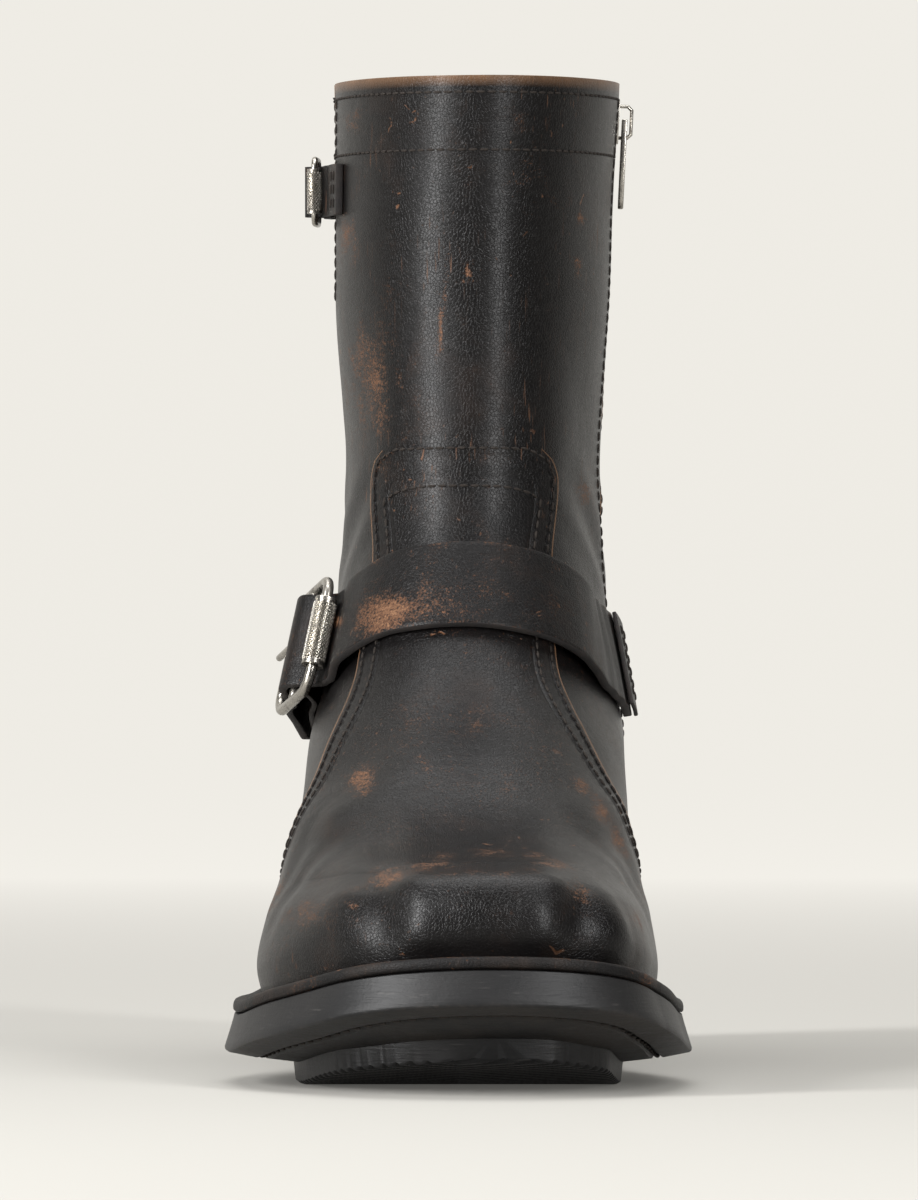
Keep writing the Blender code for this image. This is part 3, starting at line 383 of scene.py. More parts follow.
leatherLooks = {
    "black": (0.0030, 0.0026, 0.0026),
    "dusk": (0.0085, 0.0054, 0.0042),
    "brown": (0.092, 0.043, 0.022),
    "tan": (0.22, 0.120, 0.064),
    "tint": 0.75,
    "rough": 0.36,
    "gloss": 0.14,
    "coat": 0.04,
    "fold": 0.00026,
}
strapLooks = {**leatherLooks, "rough": 0.43, "fold": 0.00035, "tint": 0.9, "coat": 0.02}
weltLooks = {**leatherLooks, "rough": 0.55, "coat": 0.0, "tint": 1.0, "dusk": (0.018, 0.012, 0.009)}


def edgeFinish(name, light, dark):
    finish = Finish(name)
    fibre = finish.noise(1.0, 3, 0.6, finish.turned((600, 600, 2600)))
    patch = finish.noise(160, 3)
    colour = finish.mix((patch * 0.8 + fibre * 0.5).rise(0.45, 0.85), dark, light)
    return finish.done(colour, 0.78 + (fibre - 0.5) * 0.1, fibre * 0.0001)


def rubberFinish(name):
    finish = Finish(name, Specular_IOR_Level=0.22)
    cloud = finish.noise(30, 4, 0.6)
    grit = finish.noise(900, 3, 0.7)
    scrape = finish.noise(1.0, 2, 0.5, finish.turned((140, 140, 1500), (0.04, 0.03, 0.2)))
    dust = (finish.field("wear") + (cloud - 0.5) * 0.9 + (grit - 0.5) * 0.7).rise(0.35, 0.95)
    colour = finish.mix(cloud.rise(0.35, 0.75), (0.0055, 0.0055, 0.0058), (0.0105, 0.0100, 0.0100))
    colour = finish.mix(dust * 0.45, colour, (0.052, 0.042, 0.034))
    colour = finish.mix(scrape.rise(0.66, 0.74) * 0.25, colour, (0.06, 0.056, 0.053))
    height = grit * 0.00007 + scrape * 0.00012 + cloud * 0.0002
    return finish.done(colour, 0.50 + (cloud - 0.5) * 0.2 + dust * 0.2, height)


def metalFinish(name, bright, dark, rough):
    finish = Finish(name)
    cloud = finish.noise(240, 4, 0.6)
    pits = finish.noise(1500, 3, 0.7)
    hair = finish.noise(1.0, 2, 0.5, finish.turned((4000, 400, 400), (0.3, 0.2, 0.7)))
    aged = (cloud + (pits - 0.5) * 0.6).rise(0.46, 0.74)
    colour = finish.mix(aged * 0.85, bright, dark)
    roughness = rough + aged * 0.22 + (hair - 0.5) * 0.14
    height = pits * 0.000008 + hair * 0.000006 + cloud * 0.00002
    return finish.done(colour, roughness, height, 1.0 - aged * 0.25)


def clothFinish(name, colour, second, scale, sheen=0.2):
    finish = Finish(name, Sheen_Weight=sheen, Specular_IOR_Level=0.2)
    weave, cross = [
        finish.node("ShaderNodeTexWave", {"bands_direction": way}, {"Vector": finish.place, "Scale": size})
        for way, size in (("DIAGONAL", scale), ("Z", scale * 1.3))
    ]
    fuzz = finish.noise(1800, 3, 0.7)
    mixed = finish.mix((weave * 0.5 + fuzz * 0.6).rise(0.3, 0.9), colour, second)
    return finish.done(mixed, 0.8 + (fuzz - 0.5) * 0.2, (weave + cross) * 0.00005 + fuzz * 0.00005)


finishes = {
    "leather": leatherFinish("blackLeather", leatherLooks),
    "strap": leatherFinish("strapLeather", strapLooks),
    "welt": leatherFinish("weltLeather", weltLooks),
    "rawEdge": edgeFinish("rawEdge", (0.15, 0.085, 0.048), (0.022, 0.014, 0.010)),
    "strapEdge": edgeFinish("strapEdge", (0.016, 0.011, 0.009), (0.006, 0.005, 0.005)),
    "lining": edgeFinish("lining", (0.050, 0.034, 0.024), (0.020, 0.015, 0.012)),
    "insole": edgeFinish("insoleLeather", (0.42, 0.27, 0.15), (0.24, 0.14, 0.075)),
    "rubber": rubberFinish("soleRubber"),
    "nickel": metalFinish("wornNickel", (0.37, 0.35, 0.315), (0.10, 0.088, 0.075), 0.27),
    "brass": metalFinish("zipMetal", (0.50, 0.47, 0.42), (0.13, 0.115, 0.10), 0.28),
    "tape": clothFinish("zipTape", (0.006, 0.006, 0.006), (0.020, 0.019, 0.018), 900),
    "thread": clothFinish("blackThread", (0.012, 0.010, 0.009), (0.030, 0.023, 0.018), 2200, 0.0),
}
print("finishes made")


def smoothShade(mesh, angle=38):
    mesh.shade_smooth()
    mesh.set_sharp_from_angle(angle=math.radians(angle))


def addPiece(name, mesh, finishNames):
    piece = bpy.data.objects.new(name, mesh)
    bpy.context.scene.collection.objects.link(piece)
    for finishName in finishNames:
        mesh.materials.append(finishes[finishName])
    return piece


def meshOf(name, points, faces):
    mesh = bpy.data.meshes.new(name)
    mesh.from_pydata([tuple(p) for p in points], [], faces)
    return mesh


# Faces of a grid of rows, each row's points following one another, ring closes the rows
def gridFaces(rowCount, count, ring=False, keep=None):
    faces = []
    for j in range(rowCount - 1):
        for i in range(count if ring else count - 1):
            if keep is None or keep(j, i):
                a, b = j * count + i, j * count + (i + 1) % count
                faces.append((a, a + count, b + count, b))
    return faces


def setField(mesh, name, values):
    attribute = mesh.attributes.new(name, "FLOAT", "POINT")
    attribute.data.foreach_set("value", np.asarray(values, np.float32))


# The evaluated mesh of a piece with its modifiers applied
def settle(piece):
    graph = bpy.context.evaluated_depsgraph_get()
    mesh = bpy.data.meshes.new_from_object(piece.evaluated_get(graph))
    old = piece.data
    piece.modifiers.clear()
    piece.data = mesh
    bpy.data.meshes.remove(old)
    return piece


def wall(piece, thickness, offset, inner=0, rim=0):
    made = piece.modifiers.new("wall", "SOLIDIFY")
    made.thickness = thickness
    made.offset = offset
    made.use_even_offset = True
    made.material_offset = inner
    made.material_offset_rim = rim
    return settle(piece)


def body(piece, bodyName, slotName, *nodes):
    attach(piece, bodyName)
    if nodes:
        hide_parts(*nodes)
    return piece


# Folds of the leather: middle point as (x, z) seen from the front or (y, z) from a side,
# where the trough runs to on each side, its half width and its depth. Sizes in metres.
folds = {
    "front": [
        # path of (x, z), half width, depth
        ([(-0.050, 0.041), (-0.043, 0.0495), (-0.034, 0.0555), (-0.026, 0.0575)], 0.0055, 0.0019),
        ([(0.026, 0.0600), (0.034, 0.0570), (0.041, 0.0500), (0.046, 0.0430)], 0.0055, 0.0019),
        ([(-0.0215, 0.0330), (-0.0225, 0.0450), (-0.0245, 0.0570)], 0.0050, 0.0017),
        ([(0.0245, 0.0330), (0.0255, 0.0450), (0.0260, 0.0590)], 0.0048, 0.0018),
        ([(-0.0120, 0.0490), (0.0035, 0.0500), (0.0190, 0.0490)], 0.0075, -0.0010),
        ([(-0.020, 0.0655), (0.000, 0.0690), (0.018, 0.0670)], 0.0060, 0.0006),
        ([(-0.041, 0.0690), (-0.030, 0.0780), (-0.022, 0.0860)], 0.0050, 0.0006),
        ([(0.040, 0.0680), (0.031, 0.0790), (0.026, 0.0880)], 0.0045, 0.0006),
        ([(-0.030, 0.1500), (-0.032, 0.1660), (-0.028, 0.1850)], 0.0065, 0.0007),
        ([(0.029, 0.1400), (0.031, 0.1620), (0.028, 0.1900)], 0.0060, 0.0007),
        ([(-0.006, 0.1640), (-0.007, 0.1950), (-0.006, 0.2300)], 0.0080, 0.0005),
    ],
    "side": [
        # path of (y, z), half width, depth
        ([(-0.030, 0.158), (0.000, 0.150), (0.026, 0.141)], 0.0060, 0.0013),
        ([(-0.040, 0.138), (-0.010, 0.131), (0.022, 0.124)], 0.0055, 0.0012),
        ([(-0.012, 0.171), (0.010, 0.166), (0.028, 0.160)], 0.0050, 0.0007),
        ([(-0.078, 0.150), (-0.060, 0.136), (-0.046, 0.126)], 0.0045, 0.0008),
        ([(-0.160, 0.066), (-0.172, 0.056), (-0.180, 0.046)], 0.0040, 0.0007),
        ([(-0.176, 0.062), (-0.186, 0.052), (-0.192, 0.042)], 0.0040, 0.0006),
    ],
}

# Rubbed places: seen from the front (x, z) or a side (y, z), half sizes, turn, strength
rubs = {
    "front": [
        (-0.0270, 0.1754, 0.0062, 0.0165, 0.1, 0.66),
        (-0.0230, 0.1850, 0.0100, 0.0220, 0.2, 0.36),
        (-0.0087, 0.1905, 0.0007, 0.0100, -0.09, 1.10),
        (-0.0192, 0.1770, 0.0010, 0.0045, 0.0, 0.85),
        (-0.0018, 0.2043, 0.0008, 0.0022, -0.3, 1.05),
        (0.0277, 0.2192, 0.0014, 0.0014, 0.0, 0.95),
        (0.0267, 0.2061, 0.0014, 0.0030, 0.1, 0.80),
        (0.0113, 0.1767, 0.0014, 0.0010, 0.0, 0.90),
        (0.0285, 0.1479, 0.0030, 0.0045, 0.1, 0.62),
        (-0.0330, 0.2140, 0.0030, 0.0060, 0.0, 0.55),
        (-0.0310, 0.2450, 0.0040, 0.0030, 0.0, 0.55),
        (0.0150, 0.2300, 0.0070, 0.0080, 0.3, 0.34),
        (-0.0285, 0.0752, 0.0042, 0.0034, 0.3, 0.92),
        (0.0270, 0.0735, 0.0030, 0.0022, -0.5, 0.80),
        (0.0320, 0.0680, 0.0026, 0.0050, 0.5, 0.84),
        (0.0360, 0.0610, 0.0022, 0.0056, 0.3, 0.74),
        (-0.0215, 0.0530, 0.0060, 0.0020, 0.45, 0.88),
        (-0.0100, 0.0570, 0.0080, 0.0017, 0.22, 0.90),
        (0.0040, 0.0588, 0.0080, 0.0014, 0.0, 0.95),
        (0.0170, 0.0572, 0.0080, 0.0015, -0.25, 0.90),
        (-0.0040, 0.0555, 0.0210, 0.0042, 0.06, 0.42),
        (0.0260, 0.0500, 0.0020, 0.0050, 0.5, 0.60),
        (-0.0300, 0.0465, 0.0016, 0.0012, 0.0, 0.90),
        (-0.0020, 0.0900, 0.0190, 0.0045, 0.0, 0.36),
        (0.0080, 0.0760, 0.0025, 0.0035, 0.2, 0.50),
        (-0.0130, 0.0800, 0.0020, 0.0050, 0.8, 0.52),
    ],
    "strap": [
        (-0.0222, 0.1165, 0.0080, 0.0055, 0.4, 1.10),
        (-0.0140, 0.1190, 0.0130, 0.0055, 0.3, 0.72),
        (-0.0040, 0.1200, 0.0170, 0.0060, 0.1, 0.46),
        (0.0160, 0.1180, 0.0120, 0.0040, 0.0, 0.34),
        (-0.0356, 0.1146, 0.0018, 0.0015, 0.0, 1.25),
        (-0.0397, 0.1118, 0.0016, 0.0014, 0.0, 1.25),
    ],
    "side": [
        (0.0300, 0.0700, 0.0120, 0.0200, 0.0, 0.62),
        (0.0120, 0.1500, 0.0160, 0.0050, 0.2, 0.55),
        (-0.1650, 0.0480, 0.0180, 0.0050, 0.2, 0.55),
        (-0.0200, 0.2000, 0.0050, 0.0190, 0.3, 0.50),
        (-0.0700, 0.0720, 0.0150, 0.0070, 0.4, 0.46),
        (-0.2200, 0.0430, 0.0180, 0.0040, 0.0, 0.60),
        (0.0240, 0.1050, 0.0060, 0.0160, 0.1, 0.50),
        (-0.0350, 0.1050, 0.0180, 0.0030, 0.6, 0.40),
    ],
}


# How far a point lies from a path in the same plane
def pathDistance(points, path):
    found = np.full(len(points), 1e9)
    share = np.zeros(len(points))
    for n, (a, b) in enumerate(zip(path, path[1:])):
        a, b = np.array(a), np.array(b)
        t = np.clip((points - a) @ (b - a) / ((b - a) @ (b - a)), 0, 1)
        distance = np.linalg.norm(points - a - t[:, None] * (b - a), axis=1)
        closer = distance < found
        share = np.where(closer, (n + t) / (len(path) - 1), share)
        found = np.where(closer, distance, found)
    return found, share


# Depth of the folds at points with outward directions: below 0 in a trough, above 0 beside it
def foldDepth(points, outs):
    depth = np.zeros(len(points))
    for side, weight, plane in (("front", -outs[:, 1], (0, 2)), ("side", np.abs(outs[:, 0]), (1, 2))):
        for path, half, deep in folds[side]:
            distance, share = pathDistance(points[:, plane], path)
            fade = np.clip(np.sin(np.pi * (0.08 + 0.84 * share)), 0, 1) * np.clip(weight * 3, 0, 1)
            d = distance / half
            depth += deep * fade * (-np.exp(-d * d) + 0.45 * np.exp(-((d - 1.9) ** 2) * 1.3))
    return depth


def wearAt(points, outs, base=0.0, front="front"):
    worn = np.full(len(points), float(base))
    for side, weight, plane in ((front, -outs[:, 1], (0, 2)), ("side", np.abs(outs[:, 0]), (1, 2))):
        for u, v, halfU, halfV, turn, strength in rubs[side]:
            du, dv = points[:, plane[0]] - u, points[:, plane[1]] - v
            along = (du * math.cos(turn) + dv * math.sin(turn)) / halfU
            across = (dv * math.cos(turn) - du * math.sin(turn)) / halfV
            mark = strength * np.exp(-(along**2 + across**2) * 0.8)
            worn = np.maximum(worn, mark * np.clip(weight * 6, 0, 1))
    return worn


# Low, wide unevenness of worked leather, the same at each run
def waviness(points):
    x, y, z = points.T * 1000
    first = np.sin(x / 11 + 1.3 * np.sin(z / 23)) * np.sin(z / 17 + y / 31)
    second = np.sin(y / 14 + 0.9 * np.sin(z / 15 + 2)) * np.sin(z / 12 - x / 25)
    return (first + second) * 0.00022


# The row of heights and angles of the zip, its slot and the notch of the gusset
zipCuts = {
    "length": 0.175,
    "slot": 0.0090,
    "line": [(0.00, 1.571), (0.55, 1.560), (0.83, 1.430), (1.00, 1.330)],
}
gussetCuts = {"angle": math.pi + 1.55, "depth": 0.054, "gap": 0.0070}


def zipAngle(z):
    down = (boot["collarHeight"] - np.asarray(z)) / zipCuts["length"]
    return smooth(column(zipCuts["line"], 0), column(zipCuts["line"], 1), down)


def zipHalf(z):
    above = (z - (boot["collarHeight"] - zipCuts["length"])) / (zipCuts["slot"] * 0.5)
    return zipCuts["slot"] / 2 * np.sqrt(np.clip(1 - (1 - np.clip(above, 0, 1)) ** 2, 0, 1))


def gussetHalf(z):
    down = (boot["collarHeight"] - z) / gussetCuts["depth"]
    return np.where(down < 1, gussetCuts["gap"] / 2 * (0.25 + 0.75 * (1 - np.clip(down, 0, 1))), 0)


# Half a cut's width as an angle, where it crosses the ring at position k
def cutAt(k, angleOf, halfOf):
    angle = angleOf(0.15) * np.ones(len(k))
    for _ in range(6):
        z = skin(k, angle)[:, 2]
        angle = angleOf(z) * np.ones(len(k))
    speed = np.linalg.norm(skin(k, angle + 0.01) - skin(k, angle - 0.01), axis=1) / 0.02
    return angle, halfOf(skin(k, angle)[:, 2]) / speed


upperLooks = {"rows": 190, "frontColumns": 96, "backColumns": 124}


def makeUpper():
    rowCount = upperLooks["rows"]
    k = np.linspace(0, len(ringTable) - 1, rowCount)
    zipMiddle, zipReach = cutAt(k, zipAngle, zipHalf)
    notchMiddle, notchReach = cutAt(k, lambda z: gussetCuts["angle"], gussetHalf)
    strips = []
    spans = [
        (zipMiddle + zipReach, notchMiddle - notchReach, upperLooks["frontColumns"]),
        (notchMiddle + notchReach, zipMiddle - zipReach + 2 * math.pi, upperLooks["backColumns"]),
    ]
    points = []
    faces = []
    for start, end, count in spans:
        shares = np.linspace(0, 1, count)
        angles = start[:, None] + (end - start)[:, None] * shares
        grid = skin(k[:, None], angles)
        outs = skinNormal(k[:, None], angles)
        base = sum(len(p) for p in points)
        strips.append((base, count))
        faces += [tuple(base + v for v in face) for face in gridFaces(rowCount, count)]
        flat, flatOuts = grid.reshape(-1, 3), outs.reshape(-1, 3)
        rise = foldDepth(flat, flatOuts) + waviness(flat)
        rise *= np.clip((flat[:, 2] - featherHeight(flat[:, 1])) / 0.006, 0, 1)
        points.append(flat + flatOuts * np.minimum(rise, 0.0012)[:, None])
    points = np.concatenate(points)
    (first, firstCount), (second, secondCount) = strips
    for j in range(rowCount - 1):
        # The two strips meet where a cut has ended.
        if zipReach[j + 1] < 1e-6:
            a = second + j * secondCount + secondCount - 1
            b = first + j * firstCount
            faces.append((a, a + secondCount, b + firstCount, b))
        if notchReach[j + 1] < 1e-6:
            a = first + j * firstCount + firstCount - 1
            b = second + j * secondCount
            faces.append((a, a + firstCount, b + secondCount, b))
    mesh = meshOf("upperLeather", points, faces)
    work = bmesh.new()
    work.from_mesh(mesh)
    bmesh.ops.remove_doubles(work, verts=work.verts, dist=0.00003)
    work.to_mesh(mesh)
    work.free()
    piece = addPiece("upper_leather", mesh, ["leather", "lining", "rawEdge"])
    wall(piece, boot["upperWall"], -1, 1, 2)
    # The collar's cut edge shows brown.
    overEdge = coordinates(piece.data)[:, 2] - boot["collarHeight"] + 0.0012
    paintWear(piece, np.clip(overEdge / 0.0006, 0, 1) * 0.5)
    smoothShade(piece.data, 50)
    return body(piece, "boot", "black_leather", "upper")


def coordinates(mesh):
    found = np.zeros(len(mesh.vertices) * 3)
    mesh.vertices.foreach_get("co", found)
    return found.reshape(-1, 3)


def vertexOuts(mesh):
    found = np.zeros(len(mesh.vertices) * 3)
    mesh.vertices.foreach_get("normal", found)
    return found.reshape(-1, 3)


def paintWear(piece, bare):
    mesh = piece.data
    setField(mesh, "wear", wearAt(coordinates(mesh), vertexOuts(mesh)))
    setField(mesh, "bare", bare)


# Side edge of the vamp as half its spread round the ring, and the turn of its tongue
vampLooks = {
    "edge": [(0.00, 1.86), (1.00, 1.72), (2.00, 1.54), (3.00, 1.30), (4.00, 1.06), (5.00, 0.82),
             (6.00, 0.66), (7.00, 0.66), (7.90, 0.74), (8.05, 0.70), (8.14, 0.60)],
    "turn": [(0.00, 0.00), (4.00, 0.00), (6.00, 0.06), (8.14, 0.09)],
    "foot": 0.17,
    "top": 8.14,
    "rows": 240,
    "columns": 200,
}


# How far the stitch rows lie from the vamp's edge, and half width and depth of their furrows
stitchRows = {"vamp": (0.0024, 0.0078), "corner": 0.004, "half": 0.00065, "deep": 0.00030}


def vampSpread(k):
    return smooth(column(vampLooks["edge"], 0), column(vampLooks["edge"], 1), k)


def vampMiddle(k):
    return math.pi + smooth(column(vampLooks["turn"], 0), column(vampLooks["turn"], 1), k)


# Furrows that the two stitch rows pull into the vamp
def vampSeams(shares, grid):
    halfWidth = np.linalg.norm(np.diff(grid, axis=1), axis=2).sum(1, keepdims=True) / 2
    fromSide = (1 - np.abs(shares)) * halfWidth
    steps = np.linalg.norm(np.diff(grid[:, len(shares) // 2], axis=0), axis=1)
    fromTop = np.concatenate([np.cumsum(steps[::-1])[::-1], [0]])[:, None] + 0 * fromSide
    furrow = 0 * fromSide
    for inset in stitchRows["vamp"]:
        corner = stitchRows["corner"]
        pastSide, pastTop = inset + corner - fromSide, inset + corner - fromTop
        away = np.hypot(np.maximum(0, pastSide), np.maximum(0, pastTop)) - corner
        line = np.where((pastSide > 0) & (pastTop > 0), away, inset - np.minimum(fromSide, fromTop))
        furrow += np.exp(-(line / stitchRows["half"]) ** 2) * stitchRows["deep"]
    return furrow


def makeVamp():
    k = np.linspace(vampLooks["foot"], vampLooks["top"], vampLooks["rows"])
    # The columns lie closer together towards the sides, where the stitch rows are.
    shares = np.linspace(-1, 1, vampLooks["columns"])
    shares = 1.25 * shares - 0.25 * shares**3
    angles = vampMiddle(k)[:, None] + vampSpread(k)[:, None] * shares
    outs = skinNormal(k[:, None], angles)
    grid = skin(k[:, None], angles) + outs * vampGap
    flat, flatOuts = grid.reshape(-1, 3), outs.reshape(-1, 3)
    rise = foldDepth(flat, flatOuts) + waviness(flat)
    rise *= np.clip((flat[:, 2] - featherHeight(flat[:, 1])) / 0.006, 0, 1)
    rise = np.minimum(rise, 0.0012) - vampSeams(shares, grid).ravel()
    points = flat + flatOuts * rise[:, None]
    mesh = meshOf("vampLeather", points, gridFaces(len(k), len(shares)))
    edge = np.tile(np.abs(shares), len(k))
    setField(mesh, "edge", edge)
    piece = addPiece("vamp_leather", mesh, ["leather", "leather", "rawEdge"])
    wall(piece, boot["vampWall"], 1, 0, 2)
    edge = np.zeros(len(piece.data.vertices))
    piece.data.attributes["edge"].data.foreach_get("value", edge)
    paintWear(piece, np.clip((edge - 0.984) / 0.010, 0, 1) * 0.55)
    smoothShade(piece.data, 50)
    return body(piece, "boot", "black_leather", "vamp")


makeUpper()
makeVamp()
print("upper and vamp made")

# Instep strap and top strap, with the sizes of their buckles
instepLooks = {
    "line": [(-1.50, 0.398, 0.20), (-1.30, 0.411, 0.20), (-1.05, 0.426, 0.35), (-0.80, 0.449, 1.20),
             (-0.40, 0.472, 1.35), (0.00, 0.480, 1.35), (0.40, 0.474, 1.35), (0.80, 0.452, 1.20),
             (0.98, 0.438, 1.00)],
    "width": 0.0255,
    "thickness": 0.0023,
    "keeperWidth": 0.012,
    "keeperThickness": 0.0011,
    "hangerWidth": 0.024,
    "hangerThickness": 0.0016,
    "frame": (0.0335, 0.029, 0.0028),
    "standoff": 0.0078,
    "roller": (0.0187, 0.0012),
    "prong": 0.0018,
    "angle": 1.26,
    "tilt": math.radians(-6),
    "tail": 0.040,
    "hanger": 0.062,
}
topLooks = {
    "height": 0.227,
    "width": 0.0132,
    "thickness": 0.0018,
    "hangerThickness": 0.0011,
    "frame": (0.0184, 0.0185, 0.0017),
    "standoff": 0.0052,
    "roller": (0.0118, 0.0008),
    "prong": 0.0013,
    "root": 1.20,
    "angle": 1.66,
    "tail": 0.022,
    "hanger": 0.036,
}
across = np.array((-1, -0.5, 0, 0.5, 1))


def instepValue(turn, index):
    return smooth(column(instepLooks["line"], 0), column(instepLooks["line"], index), turn)


def strapHeight(turn):
    return boot["collarHeight"] * instepValue(turn, 1)


def strapOff(turn):
    return vampMargin * instepValue(turn, 2)


def topHeight(turn):
    return topLooks["height"] + 0 * np.asarray(turn, float)


def unit(vectors):
    return vectors / np.linalg.norm(vectors, axis=-1, keepdims=True)


def dot(a, b):
    return (a * b).sum(-1, keepdims=True)


# Unit vectors along, across and off a line on the skin, at turns from the front
def skinAxes(line, turn):
    step = 0.02
    ahead = atHeight(line(turn + step), math.pi + turn + step, 0)
    ahead = ahead - atHeight(line(turn - step), math.pi + turn - step, 0)
    out = skinNormal(ringOfHeight(line(turn), math.pi + turn), math.pi + turn)
    along = unit(ahead - out * dot(ahead, out))
    return along, np.cross(out, along), out


def turnAfter(line, turn, distance):
    step = 0.02
    ahead = atHeight(line(turn + step), math.pi + turn + step, 0)
    return float(turn + step * distance / np.linalg.norm(ahead - atHeight(line(turn), math.pi + turn, 0)))


def strapRows(turns, line, off, width):
    turns = np.asarray(turns, float)
    step, rise = 0.02, 0.001
    here = atHeight(line(turns), math.pi + turns, 0)
    sideways = (atHeight(line(turns), math.pi + turns + step, 0) - here) / step
    upwards = (atHeight(line(turns) + rise, math.pi + turns, 0) - here) / rise
    crossing, out = skinAxes(line, turns)[1:]
    mixed = dot(sideways, upwards)
    share = dot(sideways, sideways) * dot(upwards, upwards) - mixed * mixed
    turnRate = (dot(crossing, sideways) * dot(upwards, upwards) - dot(crossing, upwards) * mixed) / share
    riseRate = (dot(crossing, upwards) * dot(sideways, sideways) - dot(crossing, sideways) * mixed) / share
    distance = off(turns) + 0 * turns
    centre = atHeight(line(turns), math.pi + turns, distance)
    ends = []
    for side in (-1, 1):
        reach = side * width / 2
        height = line(turns) + riseRate[:, 0] * reach
        ends.append(atHeight(height, math.pi + turns + turnRate[:, 0] * reach, distance))
    lift = out * np.maximum(0, dot(centre - (ends[0] + ends[1]) / 2, out))
    shares = (across + 1) / 2
    rows = ends[0][:, None] * (1 - shares)[None, :, None] + ends[1][:, None] * shares[None, :, None]
    return list(rows + lift[:, None] * (1 - across**2)[None, :, None])


# A finer grid through rows of points, with its rows evenly spaced
def finer(rows, rowCount, columnCount):
    rows = np.array(rows)
    middle = rows[:, rows.shape[1] // 2]
    lengths = np.concatenate([[0], np.cumsum(np.linalg.norm(np.diff(middle, axis=0), axis=1))])
    places = np.linspace(0, lengths[-1], rowCount)
    count = rows.shape[1]
    long = np.stack([[smooth(lengths, rows[:, i, c], places) for c in range(3)] for i in range(count)])
    long = long.transpose(2, 0, 1)
    along = np.linspace(0, 1, columnCount) * (count - 1)
    cells = np.clip(along.astype(int), 0, count - 2)
    rest = along - cells
    return long[:, cells] * (1 - rest)[None, :, None] + long[:, cells + 1] * rest[None, :, None]


# Leather strap from a grid: wall, rounded edges, wear on its face
def leatherStrap(name, grid, thickness, base, edgeWear, ripples=0.0):
    rowCount, columnCount = grid.shape[:2]
    if ripples:
        lengths = np.arange(rowCount)[:, None] / rowCount
        wave = np.sin(lengths * 150 + 1.5 * np.sin(np.linspace(0, 3, columnCount)))
        squeeze = np.exp(-((lengths - 0.10) / 0.085) ** 2)
        off = np.cross(np.gradient(grid, axis=0), np.gradient(grid, axis=1))
        grid = grid + unit(off) * (wave * squeeze * ripples)[..., None]
    faces = gridFaces(rowCount, columnCount)
    mesh = meshOf(name, grid.reshape(-1, 3), faces)
    edge = np.tile(np.abs(np.linspace(-1, 1, columnCount)), rowCount)
    setField(mesh, "edge", edge**8)
    piece = addPiece(name, mesh, ["strap", "strap", "strapEdge"])
    wall(piece, abs(thickness), 1 if thickness > 0 else -1, 0, 2)
    bevel = piece.modifiers.new("round", "BEVEL")
    bevel.width = min(0.0004, abs(thickness) * 0.3)
    bevel.segments = 2
    bevel.limit_method = "ANGLE"
    bevel.angle_limit = math.radians(50)
    settle(piece)
    mesh = piece.data
    found = np.zeros(len(mesh.vertices))
    mesh.attributes["edge"].data.foreach_get("value", found)
    points, outs = coordinates(mesh), vertexOuts(mesh)
    setField(mesh, "wear", np.maximum(wearAt(points, outs, base, "strap"), found * edgeWear))
    setField(mesh, "bare", np.zeros(len(points)))
    smoothShade(mesh, 42)
    return piece


